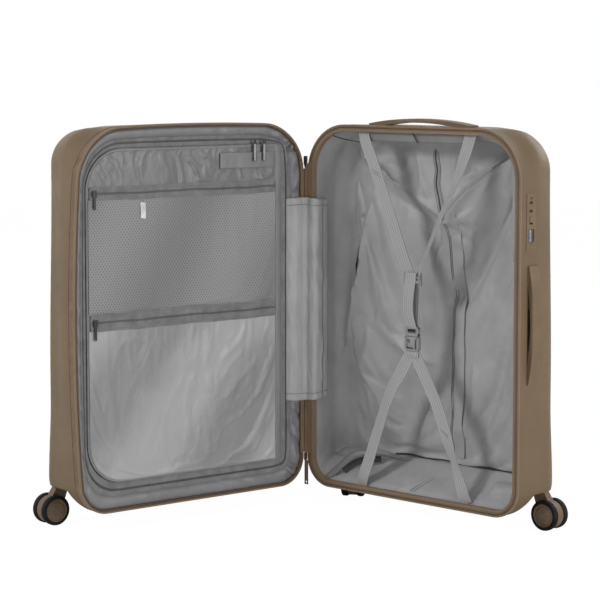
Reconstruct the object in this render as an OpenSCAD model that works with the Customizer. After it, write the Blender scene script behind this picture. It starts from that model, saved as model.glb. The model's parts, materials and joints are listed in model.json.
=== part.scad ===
// Hard shell suitcase on four twin-wheel casters, standing open on its wheels.
// Millimetres, Z up. The case opens like a book on a vertical fabric hinge: the back half stays
// square to the axes, the front half swings round the hinge. Origin: on the floor, under the middle
// of the open case.

/* [Case] */
// Width of each half at the rim
case_w = 505; // [470:5:540]
// Height of each half at the rim
case_h = 700; // [640:5:740]
// Depth of the back half
back_depth = 138; // [130:1:160]
// Depth of the front half, expander included
front_depth = 149; // [142:1:175]
// Height of the rims above the floor
floor_gap = 33; // [30:1:42]
// Opening angle, 0 closed and 180 flat
rest_open = 100; // [85:1:120]
// Wall of the hard shells
wall = 2.5; // [1.8:0.1:3.5]
// Radius of the two top corners, seen from the front
top_r = 92; // [70:1:105]
// Radius of the two bottom corners, seen from the front
low_r = 54; // [48:1:64]
// Rounding of the edge between the side walls and the large face
edge_r = 44; // [34:1:46]

/* [Ribs] */
// Height of a rib over the shell
rib_h = 1.2; // [0.6:0.1:2]
// Spacing of the ribs on the back shell
back_rib_pitch = 13.6; // [11:0.2:20]
// Spacing of the ribs on the front shell
front_rib_pitch = 27; // [20:1:36]
// Share of the spacing that is raised
rib_share = 0.55; // [0.4:0.05:0.7]

/* [Rims and zips] */
// Space between the two halves across the hinge
hinge_gap = 8; // [7:0.5:11]
// Distance of a rim's face from the closing plane
rim_set = 2; // [1.6:0.1:3]
// Width of the back rim's face
rim_w = 12; // [10:0.5:15]
// Thickness of the back rim's face
rim_t = 4; // [3:0.5:5]
// Length of the back rim's inner leg
rim_leg = 8; // [6:0.5:9]
// Width of the front rim's face
front_rim_w = 6; // [5:0.5:8]
// Radius of a zip coil
coil_r = 1.3; // [1:0.1:1.6]
// Distance of the main zip coil from the outline
coil_in = 4.2; // [3.4:0.2:4.6]
// Length of the expander band between the front rim and its shell
band_l = 15; // [10:1:22]
// Thickness of the expander band's cloth
band_t = 1.5; // [1:0.1:2]

/* [Casters] */
// Diameter of a wheel
wheel_d = 56; // [50:1:60]
// Width of a wheel
wheel_w = 13; // [11:0.5:15]
// Distance between the middles of the two wheels of a caster
wheel_pitch = 30; // [29:0.5:34]
// Diameter of the hub inside the tyre
hub_d = 44; // [38:1:46]
// Axle diameter
axle_d = 6; // [5:0.5:8]
// Distance of the axle from the swivel axis
trail = 22; // [16:1:24]
// Distance of the free-side swivel axes from their side wall
caster_side = 27; // [25:1:33]
// Distance of the hinge-side swivel axes from their side wall
caster_hinge = 32; // [31:1:33]
// Distance of the swivel axis from the large face
caster_back = 30; // [28:1:36]
// Diameter of the fork's swivel stem
stem_d = 10; // [8:0.5:14]
// Height of the recess above each caster, over the rim's lowest line
recess_h = 39; // [37:1:44]
// Width of the recess, from the side wall inward
recess_w = 88; // [86:1:100]
// Depth at which the recess starts at the bottom
recess_near = 24; // [20:1:28]
// Depth at which the recess reaches its full height
recess_far = 56; // [50:1:58]
// Wall of the wheel housings
housing_t = 3; // [2:0.5:4]
// Height of the swivel boss above the housing roof
boss_h = 9; // [7:1:12]

/* [Lining] */
// Thickness of the lining and its borders
cloth = 1; // [0.8:0.1:1.6]
// Space above the back lining and beside it, which hides the handle feet
liner_gap = 23; // [21:1:28]
// Space between the shells and the lining where nothing is hidden
liner_near = 5; // [4:0.5:8]
// Space behind the back lining, which hides the trolley tubes
liner_back = 32; // [31:1:38]
// Thickness of the divider panel
divider_t = 7.5; // [5:0.5:9]
// Depth of the divider's face in the front half
divider_set = 5; // [4:0.5:6]
// Distance of the divider's sewn edge from the front half's hinge side
divider_hinge = 50; // [44:1:56]
// Distance of the divider's free edge from the free side
divider_free = 17; // [15:1:24]
// Height of the divider's lower edge over the rim's lowest line
divider_low = 54; // [50:1:60]
// Distance of the divider's upper edge from the top
divider_top = 38; // [34:1:44]
// Radius of the divider's corners
divider_r = 74; // [60:1:80]
// Thickness of a pocket zip tape
tape_t = 1.4; // [1:0.1:1.8]
// Distance of the upper pocket zip's middle from the top
zip_drop = 117; // [105:1:150]
// Distance between the middles of the two pocket zips
pocket_h = 233; // [190:1:280]
// Width of the upper pocket zip tape
zip_high_w = 25; // [18:1:30]
// Width of the lower pocket zip tape
zip_low_w = 34; // [24:1:40]

/* [Packing straps] */
// Width of the webbing
strap_w = 25; // [20:1:30]
// Thickness of the webbing
strap_t = 1.6; // [1.2:0.1:2]
// Distance of the strap ends from the middle, left and right
strap_spread = 122; // [90:1:150]
// Height of the strap ring over the middle of the case
ring_rise = 67; // [50:1:90]
// Distance from the ring's middle down to the top of the buckle
buckle_drop = 89; // [72:1:110]
// Length of the closed buckle
buckle_l = 46; // [42:1:54]
// Width of the buckle
buckle_w = 34; // [30:1:40]
// Thickness of the buckle
buckle_t = 9; // [7:0.5:10]

/* [Handles] */
// Length of the top carry handle
top_handle_l = 238; // [210:2:250]
// Length of the side carry handle
side_handle_l = 214; // [190:2:240]
// Width of both carry handles
handle_w = 28; // [24:1:32]
// Height of a carry handle over the shell
handle_rise = 14; // [12:0.5:18]
// Depth of the handles' middle line
handle_depth = 40; // [36:1:46]
// Travel of a carry handle when lifted
handle_lift = 10; // [8:1:12]
// Spacing of the two trolley tubes
trolley_pitch = 190; // [150:2:220]
// Width of an outer trolley tube
tube_w = 24; // [22:1:28]
// Thickness of an outer trolley tube
tube_t = 14; // [13:1:15]
// Wall of every trolley tube
tube_wall = 1.5; // [1:0.1:1.6]
// Radius of the trolley grip
grip_r = 11; // [9:0.5:12]

/* [Lock] */
// Length of the lock plate
lock_l = 103; // [100:1:112]
// Width of the lock plate
lock_w = 26; // [25:1:30]
// Depth of the lock body inside the wall
lock_in = 15; // [13:1:18]
// Space between the side handle and the lock plate
lock_gap = 26.5; // [20:0.5:30]
// Height of the lock plate over the shell
lock_proud = 1; // [0.6:0.1:1.5]
// Radius of a number dial
dial_r = 8; // [7:0.5:9]
// Spacing of the dials
dial_pitch = 7.3; // [7:0.1:8]

/* [Fits] */
// Radial clearance of turning parts
run = 0.05; // [0.02:0.01:0.09]
// Gap between parts that slide or lie close
slip = 0.3; // [0.2:0.05:0.5]
// Gap between soft parts and their neighbours
soft = 0.3; // [0.2:0.05:0.5]

/* [Hidden] */
$fn = 48;
shell_colour = [0.50, 0.42, 0.35];
lining_colour = [0.52, 0.52, 0.52];
webbing_colour = [0.62, 0.62, 0.62];

// Heights over the rim's lowest line
zip_high = case_h - zip_drop;
zip_low = zip_high - pocket_h;
ring_z = case_h / 2 + ring_rise;
buckle_z = ring_z - buckle_drop;
lock_z = (case_h + side_handle_l + lock_l) / 2 + lock_gap;

// Case outline: [width, height, top radius, low radius]
case_line = [case_w, case_h, top_r, low_r];
function inset(o, k) = [o[0] - 2 * k, o[1] - 2 * k, o[2] - k, o[3] - k];

// Corner circles [x, y, radius], counter-clockwise from the low free one
function corner(o, k) =
    k == 0 ? [o[0] - o[3], o[3], o[3]] :
    k == 1 ? [o[0] - o[2], o[1] - o[2], o[2]] :
    k == 2 ? [o[2], o[1] - o[2], o[2]] : [o[3], o[3], o[3]];
function at(c) = [c[0], c[1]];
// Side k runs from corner k - 1 to corner k and faces 90 k - 90 degrees
function side_run(o, k) = abs(corner(o, k)[1 - (k + 1) % 2] - corner(o, (k + 3) % 4)[1 - (k + 1) % 2]);
function arc(c, r, from, n) = [for (i = [0:n]) c + r * [cos(from + 90 * i / n), sin(from + 90 * i / n)]];
function outline(o, n = 8) = [for (k = [0:3]) each arc(at(corner(o, k)), corner(o, k)[2], 90 * k - 90, n)];

// Sweeps a profile round an outline: its x points outward from the outline, its y is depth.
// $reach is how far inward the profile may go.
module sweep(o, reach = 60) {
    for (k = [0:3]) {
        b = corner(o, k);
        dir = 90 * k - 90;
        translate(at(b) + b[2] * [cos(dir), sin(dir)]) rotate([0, 0, dir]) rotate([90, 0, 0])
            linear_extrude(side_run(o, k)) { $reach = reach; children(); }
        translate(at(b)) rotate(dir) rotate_extrude(angle = 90, $fn = 96)
            translate([b[2], 0]) { $reach = min(reach, b[2]); $fn = 48; children(); }
    }
}

// A wall's outer form in section: straight from depth t0, rounded into the large face at depth d
module loaf_section(t0, d, r) {
    intersection() {
        union() {
            translate([-$reach, t0]) square([$reach, d - r - t0]);
            translate([-$reach, d - r - 0.01]) square([max($reach - r, 0.01), r + 0.01]);
            translate([-r, d - r]) circle(r, $fn = 96);
        }
        translate([-$reach, t0]) square([$reach, d - t0]);
    }
}
module loaf_shell(o, t0, d, r, t) {
    sweep(o) difference() {
        loaf_section(t0, d, r);
        translate([-t, 0]) {
            $reach = $reach - t + 1;
            loaf_section(t0 - 1, d - t, r - t);
        }
    }
    translate([0, 0, d - t]) translate([r + 4, r + 4, 0])
        linear_extrude(t) polygon(outline(inset(o, r + 4)));
}
module loaf_solid(o, t0, d, r) {
    sweep(o) loaf_section(t0, d, r);
}

// Ribs: raised bands on the large face, running out round its side edges
module ribs(o, d, pitch) {
    first = o[3] + 8;
    count = floor((o[1] - o[2] - first) / pitch);
    intersection() {
        union() {
            sweep(o) difference() {
                translate([rib_h, 0]) {
                    $reach = $reach + rib_h;
                    loaf_section(d - edge_r * 0.55, d + rib_h, edge_r + rib_h);
                }
                translate([-0.8, 0]) {
                    $reach = $reach;
                    loaf_section(0, d - 0.8, edge_r - 0.8);
                }
            }
            translate([edge_r + 4, edge_r + 4, d - 0.8])
                linear_extrude(rib_h + 0.8) polygon(outline(inset(o, edge_r + 4)));
        }
        for (i = [0:count])
            translate([-20, first + i * pitch, 0]) cube([o[0] + 60, pitch * rib_share, d + 20]);
    }
}

// From the rim's plane (x width, y height, z depth) to a standing half
module back_half() {
    translate([hinge_gap / 2, 0, floor_gap]) mirror([0, 1, 0]) rotate([90, 0, 0]) children();
}
// A standing half's own frame (x width, y depth, z height) turned to the open front half
module front_half() {
    rotate([0, 0, -rest_open]) mirror([0, 1, 0]) children();
}

// Middle of the open case on the floor, from its outermost pieces
wheel_out = hinge_gap / 2 + case_w - caster_side + trail + wheel_d / 2;
x_high = wheel_out;
y_high = back_depth + rib_h;
x_low = case_w * cos(rest_open) - (front_depth + rib_h) * sin(rest_open) + edge_r * 0.12;
y_low = -wheel_out * sin(rest_open)
    - (front_depth - caster_back - (wheel_pitch + wheel_w) / 2) * cos(rest_open);
module place() {
    translate([-(x_high + x_low) / 2, -(y_high + y_low) / 2, 0]) children();
}
module back_part() { place() back_half() children(); }
module back_free() { place() translate([hinge_gap / 2, 0, floor_gap]) children(); }
module front_part() { place() front_half() back_half() children(); }
module front_free() { place() front_half() translate([hinge_gap / 2, 0, floor_gap]) children(); }

// --- Recesses for the casters, in the rim's plane, at the free or the hinge side ---
recess_slope = (recess_far - recess_near) / recess_h;
module recess(d, grow) {
    lean = grow * sqrt(1 + recess_slope * recess_slope);
    low = -8;
    high = recess_h + grow;
    for (side = [0, 1])
        translate([side * case_w, 0, 0]) mirror([side, 0, 0]) translate([-25, 0, 0])
            rotate([90, 0, 90]) linear_extrude(recess_w + grow + 25) polygon([
                [low, recess_near + low * recess_slope - lean],
                [high, recess_near + high * recess_slope - lean],
                [high, d + 12], [low, d + 12]]);
}
// The swivel axis of a caster on one half: x from the hinge side, y depth
function pivot(d, free) = [free ? case_w - caster_side : caster_hinge, d - caster_back];
roof = recess_h;
stem_top = roof + housing_t + boss_h - 1;

module wheel_housings(o, d) {
    difference() {
        union() {
            intersection() {
                difference() {
                    recess(d, housing_t);
                    recess(d, 0);
                }
                loaf_solid(o, recess_near / 2, d, edge_r);
            }
            for (free = [false, true])
                translate([pivot(d, free)[0], roof + 0.5, pivot(d, free)[1]]) rotate([-90, 0, 0])
                    cylinder(d = stem_d + 12, h = housing_t + boss_h - 0.5);
        }
        for (free = [false, true])
            translate([pivot(d, free)[0], roof - 1, pivot(d, free)[1]]) rotate([-90, 0, 0])
                cylinder(d = stem_d + 2 * run, h = housing_t + boss_h);
    }
}

// --- Hard shells ---
rim_back = rim_set + rim_t;
rim_lip = 0.8;
shell_from = rim_back + 0.2;
leg = [20, 22];
foot_t = 2.5;
lock_depth = handle_depth - 6;
plate_t = 3;
// Where a carry handle's two legs stand, from its middle
function leg_at(l) = l / 2 - 15;
// Opening for one leg through wall and plate
module leg_hole(l) {
    for (side = [-1, 1])
        translate([side * leg_at(l), 0, 0])
            cube([leg[0] + 2 * slip, leg[1] + 2 * slip, 60], center = true);
}
module at_top() { translate([case_w / 2, case_h, handle_depth]) rotate([-90, 0, 0]) children(); }
module at_side() {
    translate([case_w, case_h / 2, handle_depth]) rotate([0, 90, 0]) rotate([0, 0, 90]) children();
}
cup_w = trolley_pitch + 2 * tube_w;
tube_off = 7.5;
cup_wall = 3;
cup_front = 7;
cup_drop = 38;
tube_depth = back_depth - wall - tube_off - tube_t / 2;
cup_near = tube_depth - tube_t / 2 - cup_front - cup_wall;
cup_low = case_h - cup_drop;
module cup_space(grow) {
    translate([case_w / 2 - cup_w / 2 - grow, cup_low - grow, cup_near - grow])
        cube([cup_w + 2 * grow, 2 * cup_drop, back_depth]);
}
module back_shell() {
    color(shell_colour) back_part() difference() {
        union() {
            loaf_shell(case_line, shell_from, back_depth, edge_r, wall);
            ribs(case_line, back_depth, back_rib_pitch);
        }
        recess(back_depth, housing_t + slip / 2);
        at_top() leg_hole(top_handle_l);
        at_side() leg_hole(side_handle_l);
        cup_space(slip / 2);
        translate([case_w, lock_z, lock_depth])
            cube([30, lock_l - 8 + slip, lock_w - 5 + slip], center = true);
    }
}
band_from = rim_set + rim_t + 0.2;
front_shell_from = band_from + band_l + 0.2;
module front_shell() {
    color(shell_colour) front_part() difference() {
        union() {
            loaf_shell(case_line, front_shell_from, front_depth, edge_r, wall);
            ribs(case_line, front_depth, front_rib_pitch);
        }
        recess(front_depth, housing_t + slip / 2);
    }
}
module back_wheel_housings() {
    color(shell_colour) back_part() wheel_housings(case_line, back_depth);
}
module front_wheel_housings() {
    color(shell_colour) front_part() difference() {
        wheel_housings(case_line, front_depth);
        // nothing of the housing reaches into the cloth band
        translate([-case_w / 2, -case_h / 2, 0]) cube([2 * case_w, case_h, front_shell_from]);
    }
}

// --- Rims and zips ---
module back_rim() {
    color(shell_colour) back_part() sweep(case_line) difference() {
        union() {
            translate([-rim_w, rim_set]) square([rim_w + rim_lip, rim_t]);
            translate([-rim_w, rim_set]) square([rim_w - wall - 2.5, rim_t + rim_leg]);
        }
        translate([-coil_in, rim_set]) circle(coil_r + 0.25);
        translate([-rim_w + 4.2, rim_set - 0.01]) square([0.8, 0.7]);
    }
}
module coil() { circle(coil_r); }
zip_end_low = low_r + 6;
zip_end_high = top_r - 20;
module main_zip(o) {
    difference() {
        sweep(o) translate([-coil_in, rim_set]) coil();
        translate([-20, zip_end_low, -20]) cube([40, case_h - zip_end_low - zip_end_high, 40]);
    }
}
slider = [5, 5, 14];
module back_zip() {
    color("dimgray") {
        back_part() main_zip(case_line);
        // the two sliders, parked between the halves at the ends of the hinge
        for (z = [hinge_low - slider[2] - slip, hinge_high + slip])
            place() translate([-slider[0] / 2, -slider[1] / 2, floor_gap + z]) cube(slider);
    }
}
module front_zip() { color("dimgray") front_part() main_zip(case_line); }
module front_rim() {
    color(shell_colour) front_part() sweep(case_line) difference() {
        translate([-front_rim_w, rim_set]) square([front_rim_w + 0.6, rim_t]);
        translate([-coil_in, rim_set]) circle(coil_r + 0.25);
    }
}
module expander_band() {
    color(shell_colour) front_part() sweep(case_line) {
        translate([-0.6 - band_t, band_from]) square([band_t, band_l]);
        translate([-1.6, band_from + band_l - 2.4]) circle(coil_r);
    }
}

// --- Hinge ---
hinge_low = zip_end_low;
hinge_high = case_h - zip_end_high - 4;
module hinge_tape() {
    color(shell_colour) place() translate([0, 0, floor_gap + hinge_low]) {
        cylinder(r = 2.4, h = hinge_high - hinge_low);
        cube([hinge_gap / 2 - rim_lip - 0.05, rim_back + 2, hinge_high - hinge_low]);
    }
}
// Cloth over the hinge on the inside, from one half's wall over both rims to the other's
cover_low = case_h / 2 - 184;
cover_high = case_h / 2 + 207;
cover_in = rim_w + 2;
cover_deep = 34;
cover_off = 0.8;
function on_back(u, d) = [hinge_gap / 2 + u, d];
function on_front(u, d) = let (x = hinge_gap / 2 + u, y = -d)
    [x * cos(rest_open) + y * sin(rest_open), -x * sin(rest_open) + y * cos(rest_open)];
module hinge_cover() {
    inner = rim_set - 0.6;
    color(lining_colour) place() translate([0, 0, floor_gap + cover_low])
        linear_extrude(cover_high - cover_low) polygon(concat(
            [on_front(cover_in, rim_back + 3), on_front(cover_in - 0.3, inner),
             on_front(3, inner), on_back(3, inner), on_back(cover_in, inner),
             on_back(cover_in, cover_deep)],
            [on_back(cover_in + cover_off, cover_deep), on_back(cover_in + cover_off, inner - cover_off),
             on_back(5, inner - cover_off), on_front(5, inner - cover_off),
             on_front(cover_in + cover_off, inner - cover_off),
             on_front(cover_in + cover_off, rim_back + 3)]));
}

// --- Lining ---
border_from = rim_set + rim_t + rim_leg + soft;
border_in = wall + 0.5;
liner_edge = 38;
liner_low_r = 46;
liner_floor = rim_w + 1;
hump_gap = slip + soft;
// The caster recess, its housing and the swivel boss with room round them, as humps in a lining
module hump(d, grow) {
    recess(d, housing_t + grow);
    for (free = [false, true])
        translate([pivot(d, free)[0], 0, pivot(d, free)[1]]) rotate([-90, 0, 0])
            cylinder(d = stem_d + 12 + 2 * grow, h = roof + housing_t + boss_h + grow);
}
// A cloth tub [x0, y0, width, height] from depth t0 to d, with humps over the casters
module tub(b, t0, d, shell_d) {
    o = [b[2], b[3], top_r - b[1] - 4, liner_low_r];
    difference() {
        translate([b[0], b[1], 0]) loaf_shell(o, t0, d, liner_edge, cloth);
        hump(shell_d, hump_gap);
    }
    intersection() {
        difference() {
            hump(shell_d, hump_gap + cloth);
            hump(shell_d, hump_gap);
        }
        translate([b[0], b[1], 0]) loaf_solid(o, t0, d, liner_edge);
    }
}
module back_liner() {
    b = [wall + liner_near, liner_floor, case_w - wall - liner_near - liner_gap,
        case_h - liner_floor - liner_gap];
    color(lining_colour) back_part() {
        tub(b, border_from, back_depth - liner_back, back_depth);
        // border from the tub's mouth out to the shell, behind the rim
        translate([0, 0, border_from]) linear_extrude(cloth) difference() {
            translate([border_in, border_in]) polygon(outline(inset(case_line, border_in)));
            translate([b[0] + cloth / 2, b[1] + cloth / 2])
                polygon(outline(inset([b[2], b[3], top_r - b[1] - 4, liner_low_r], cloth / 2)));
        }
    }
}
front_border = divider_set + divider_t + 0.5;
divider_size = [case_w - divider_hinge - 1.5 - divider_free, case_h - divider_low - divider_top];
divider_at = [divider_hinge + 1.5, divider_low];
module front_liner() {
    b = [wall + liner_near, wall + liner_near, case_w - 2 * (wall + liner_near),
        case_h - 2 * (wall + liner_near)];
    edge = 0.6 + band_t + 0.5;
    color(lining_colour) front_part() {
        tub(b, front_border, front_depth - wall - liner_near, front_depth);
        translate([0, 0, front_border]) linear_extrude(cloth) difference() {
            translate([edge, edge]) polygon(outline(inset(case_line, edge)));
            translate(divider_at + [7, 7]) divider_outline(divider_size - [14, 14]);
        }
    }
}
// Plate with two large corners on the free side and two small ones on the hinge side
module divider_outline(s) {
    r = divider_r;
    q = 10;
    translate([q, 0]) square([s[0] - q - r, s[1]]);
    translate([0, q]) square([s[0] - r, s[1] - 2 * q]);
    translate([s[0] - r - 1, r]) square([r + 1, s[1] - 2 * r]);
    for (y = [r, s[1] - r]) translate([s[0] - r, y]) circle(r, $fn = 96);
    for (y = [q, s[1] - q]) translate([q, y]) circle(q);
}
module divider_panel() {
    pocket_x = divider_at[0] + 20;
    pocket_w = divider_size[0] - 22;
    color(lining_colour) front_part() {
        translate([divider_at[0], divider_at[1], divider_set + 1])
            linear_extrude(divider_t - 1) divider_outline(divider_size);
        // the two pockets stand proud of the panel
        intersection() {
            translate([divider_at[0] + 2, divider_at[1] + 2, divider_set])
                linear_extrude(1.5) divider_outline(divider_size - [4, 4]);
            union() {
                translate([pocket_x, divider_low, 0]) cube([pocket_w, zip_low - divider_low, 20]);
                translate([pocket_x, zip_low + zip_low_w / 2 - 6, 0])
                    cube([pocket_w, zip_high - zip_low - zip_low_w / 2 + 6, 20]);
            }
        }
    }
}
tape_x = divider_at[0] + 20;
tape_l = divider_size[0] - 26;
module pocket_zips() {
    color(webbing_colour) front_part() for (z = [[zip_high, zip_high_w], [zip_low, zip_low_w]])
        translate([tape_x, z[0] - z[1] / 2, divider_set - tape_t]) {
            cube([tape_l, z[1], tape_t - 0.02]);
            translate([0, z[1] / 2 - 2, -0.5]) cube([tape_l, 4, 1]);
        }
}
// A zip slider with its hanging tab: x across, y up, z depth; z = 0 is its back face
module zip_pull(body, tab_w, tab_l) {
    translate([-body[0] / 2, -body[1] / 2, -body[2]]) cube(body);
    translate([0, 0, -body[2]]) linear_extrude(1.4) difference() {
        union() {
            translate([-tab_w / 2, -tab_l]) square([tab_w, tab_l - 2]);
            translate([0, -tab_l]) circle(d = tab_w);
        }
        translate([0, -tab_l]) circle(d = tab_w / 2);
    }
}
pull_body = [9, 12, 1.9];
pull_x = tape_x + tape_l - pull_body[0];
pull_back = divider_set - tape_t - 0.5 - soft;
module upper_pocket_pull() {
    color("dimgray") front_part() translate([pull_x, zip_high, pull_back]) zip_pull(pull_body, 5, 26);
}
module lower_pocket_pull() {
    color("dimgray") front_part() translate([pull_x, zip_low, pull_back]) zip_pull(pull_body, 5, 30);
}
divider_pull_x = [divider_hinge + 68, divider_hinge + 46];
divider_rim_y = divider_low + divider_size[1];
module divider_pull(x) {
    color("dimgray") front_part() translate([x, 0, 0]) {
        translate([-4, divider_rim_y + soft, divider_set - 1.6 - soft])
            cube([8, 9, front_border - divider_set + 1.6]);
        translate([-2.5, divider_rim_y - 27, divider_set - 1.6 - soft]) cube([5, 30, 1.6]);
    }
}
module divider_pull_a() { divider_pull(divider_pull_x[0]); }
module divider_pull_b() { divider_pull(divider_pull_x[1]); }
label = [11, 29];
module care_label() {
    color("white") front_part()
        translate([case_w * 0.72, zip_high - zip_high_w / 2 - label[1] - soft, divider_set - 0.9])
            cube([label[0], label[1], 0.6]);
}
liner_zip_t = 1.4;
liner_zip_y = [liner_floor + liner_edge + 34, case_h - liner_gap - liner_edge - 2];
liner_tab = 30;
liner_face = back_depth - liner_back - cloth;
module liner_zip() {
    color(webbing_colour) back_part()
        translate([case_w / 2 - 6, liner_zip_y[0], liner_face - soft - liner_zip_t])
            cube([12, liner_zip_y[1] - liner_zip_y[0], liner_zip_t]);
}
module liner_zip_pull() {
    color("dimgray") back_part()
        translate([case_w / 2, liner_zip_y[1] - 10, liner_face - 2 * soft - liner_zip_t])
            zip_pull([9, 12, 2.4], 6, liner_tab);
}

// --- Packing straps ---
strap_from = rim_set + rim_t + rim_leg - strap_t;
strap_mid = strap_from + strap_t / 2;
// A flat strap between two points of the rim's plane, cut level at both ends
module strap(a, b) {
    half = strap_w / 2 * norm(b - a) / abs(b[1] - a[1]);
    translate([0, 0, strap_from]) linear_extrude(strap_t) polygon([
        a - [half, 0], a + [half, 0], b + [half, 0], b - [half, 0]]);
}
ring = [41, 25, 4];
ring_bar = 4;
meet = 8;
module upper_straps() {
    color(webbing_colour) back_part() for (side = [-1, 1])
        strap([case_w / 2 + side * (ring[0] / 4 - 0.5 + meet / 2), ring_z + ring[1] / 2 + soft],
            [case_w / 2 + side * strap_spread, case_h - rim_w - soft]);
}
module strap_ring() {
    color("dimgray") back_part() translate([case_w / 2, ring_z, strap_mid - ring[2] / 2])
        linear_extrude(ring[2]) difference() {
            square([ring[0], ring[1]], center = true);
            for (y = [-1, 1]) translate([0, y * ring[1] / 4 - y * ring_bar / 4])
                square([ring[0] - 2 * ring_bar, ring[1] / 2 - 1.5 * ring_bar], center = true);
        }
}
loop_low = buckle_z + soft;
loop_high = ring_z - ring[1] / 2 - soft;
module adjuster_loop() {
    color(webbing_colour) back_part()
        translate([case_w / 2 - strap_w / 2, loop_low, strap_mid - strap_t * 1.5])
            cube([strap_w, loop_high - loop_low, strap_t * 3]);
}
plug_l = 18;
socket_low = buckle_z - buckle_l;
socket_high = buckle_z - plug_l - slip;
prong = [6, 20, 4];
module buckle_plug() {
    color("dimgray") back_part() translate([case_w / 2, 0, strap_mid]) {
        translate([0, buckle_z - plug_l / 2, 0]) difference() {
            cube([buckle_w - 4, plug_l, buckle_t], center = true);
            translate([0, 3, 0]) cube([buckle_w - 12, 5, buckle_t + 2], center = true);
        }
        for (x = [-1, 0, 1])
            translate([x * (buckle_w / 2 - 7), buckle_z - plug_l - prong[1] / 2 + 0.5, 0])
                cube([x == 0 ? 4 : prong[0], prong[1] + 1, prong[2]], center = true);
    }
}
module buckle_socket() {
    h = socket_high - socket_low;
    color("dimgray") back_part() translate([case_w / 2, 0, strap_mid]) difference() {
        translate([0, socket_low + h / 2, 0]) cube([buckle_w, h, buckle_t], center = true);
        // throat for the three prongs
        translate([0, socket_high - (prong[1] + 2) / 2, 0])
            cube([buckle_w - 6, prong[1] + 2.02, prong[2] + 2 * slip], center = true);
        // side windows for the latches
        translate([0, socket_high - 11, 0]) cube([buckle_w + 2, 9, prong[2] + 2 * slip], center = true);
    }
}
module lower_straps() {
    knot = socket_low - soft;
    color(webbing_colour) back_part() {
        translate([case_w / 2 - strap_w / 2, knot - 8, strap_from]) cube([strap_w, 8, strap_t]);
        for (side = [-1, 1])
            strap([case_w / 2 + side * strap_spread, rim_w + soft],
                [case_w / 2 + side * meet, knot - 7.5]);
    }
}

// --- Main zip pulls: tabs that hang between the halves from the parked sliders ---
tab_t = 1.6;
// A tab [left, right] and l long, hanging from a round bar whose middle is its origin
module hanging_tab(x, l) {
    rotate([0, 90, 0]) translate([0, 0, x[0]]) cylinder(d = tab_t, h = x[1] - x[0]);
    difference() {
        translate([x[0], -tab_t / 2, -l]) cube([x[1] - x[0], tab_t, l]);
        translate([(x[0] + x[1]) / 2, -tab_t, 5 - l]) rotate([-90, 0, 0])
            cylinder(d = (x[1] - x[0]) / 2, h = 2 * tab_t);
    }
}
module main_pull_bottom() {
    color(shell_colour) place()
        translate([0, 0, floor_gap + hinge_low - slider[2] - 2 * slip - tab_t / 2])
            hanging_tab([-2.4, 6.2], 47);
}
module main_pull_top() {
    color(shell_colour) place()
        translate([0, -slider[1] / 2 - slip - tab_t / 2, floor_gap + hinge_high + slider[2] - 1])
            hanging_tab([-1.5, 1.5], 15);
}

// --- Carry handles: x along, y across, z outward from the shell ---
function arch_r(half, rise) = (half * half + rise * rise) / (2 * rise);
module carry_handle(l) {
    end_h = 3.5;
    gap_half = l / 2 - 34;
    gap_h = 6.5;
    outer = arch_r(l / 2, handle_rise - end_h);
    inner = arch_r(gap_half, gap_h);
    intersection() {
        rotate([90, 0, 0]) translate([0, 0, -handle_w / 2]) linear_extrude(handle_w) difference() {
            intersection() {
                translate([0, handle_rise - outer]) circle(outer, $fn = 720);
                translate([-l / 2, slip]) square([l, handle_rise]);
            }
            translate([0, gap_h - inner]) circle(inner, $fn = 720);
        }
        rotate([90, 0, 90]) translate([0, 0, -l / 2]) linear_extrude(l) section_2d();
    }
    for (side = [-1, 1]) translate([side * leg_at(l), 0, 0]) {
        translate([-leg[0] / 2, -leg[1] / 2, -leg_l]) cube([leg[0], leg[1], leg_l + slip + 1]);
        translate([-leg[0] / 2 - 3, -leg[1] / 2 - 2, -leg_l - foot_t])
            cube([leg[0] + 6, leg[1] + 4, foot_t]);
    }
}
leg_l = wall + plate_t + handle_lift + slip;
// Cross-section of a handle: flat below, rounded shoulders above
module section_2d() {
    r = 5;
    translate([-handle_w / 2, -1]) square([handle_w, handle_rise - r + 1]);
    translate([-handle_w / 2 + r, -1]) square([handle_w - 2 * r, handle_rise + 1]);
    for (x = [-1, 1]) translate([x * (handle_w / 2 - r), handle_rise - r]) circle(r);
}
module top_handle() { color(shell_colour) back_part() at_top() carry_handle(top_handle_l); }
module side_handle() { color(shell_colour) back_part() at_side() carry_handle(side_handle_l); }
module backing_plates(l) {
    difference() {
        for (side = [-1, 1]) translate([side * leg_at(l), 0, -wall - plate_t / 2])
            cube([leg[0] + 20, leg[1] + 14, plate_t], center = true);
        leg_hole(l);
    }
}
module handle_plates() {
    color("dimgray") back_part() {
        at_top() backing_plates(top_handle_l);
        at_side() backing_plates(side_handle_l);
    }
}

// --- Trolley handle in the back half ---
tube_low = 74;
grip_y = case_h - edge_r + sqrt(pow(edge_r, 2) - pow(tube_depth - back_depth + edge_r, 2)) - grip_r - 2;
pocket_floor = grip_y - grip_r - slip;
mid_size = [tube_w - 2 * tube_wall - 2 * slip, tube_t - 2 * tube_wall - 2 * slip];
inner_size = mid_size - 2 * [tube_wall + slip, tube_wall + slip];
button = [28, 9, 7];
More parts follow.
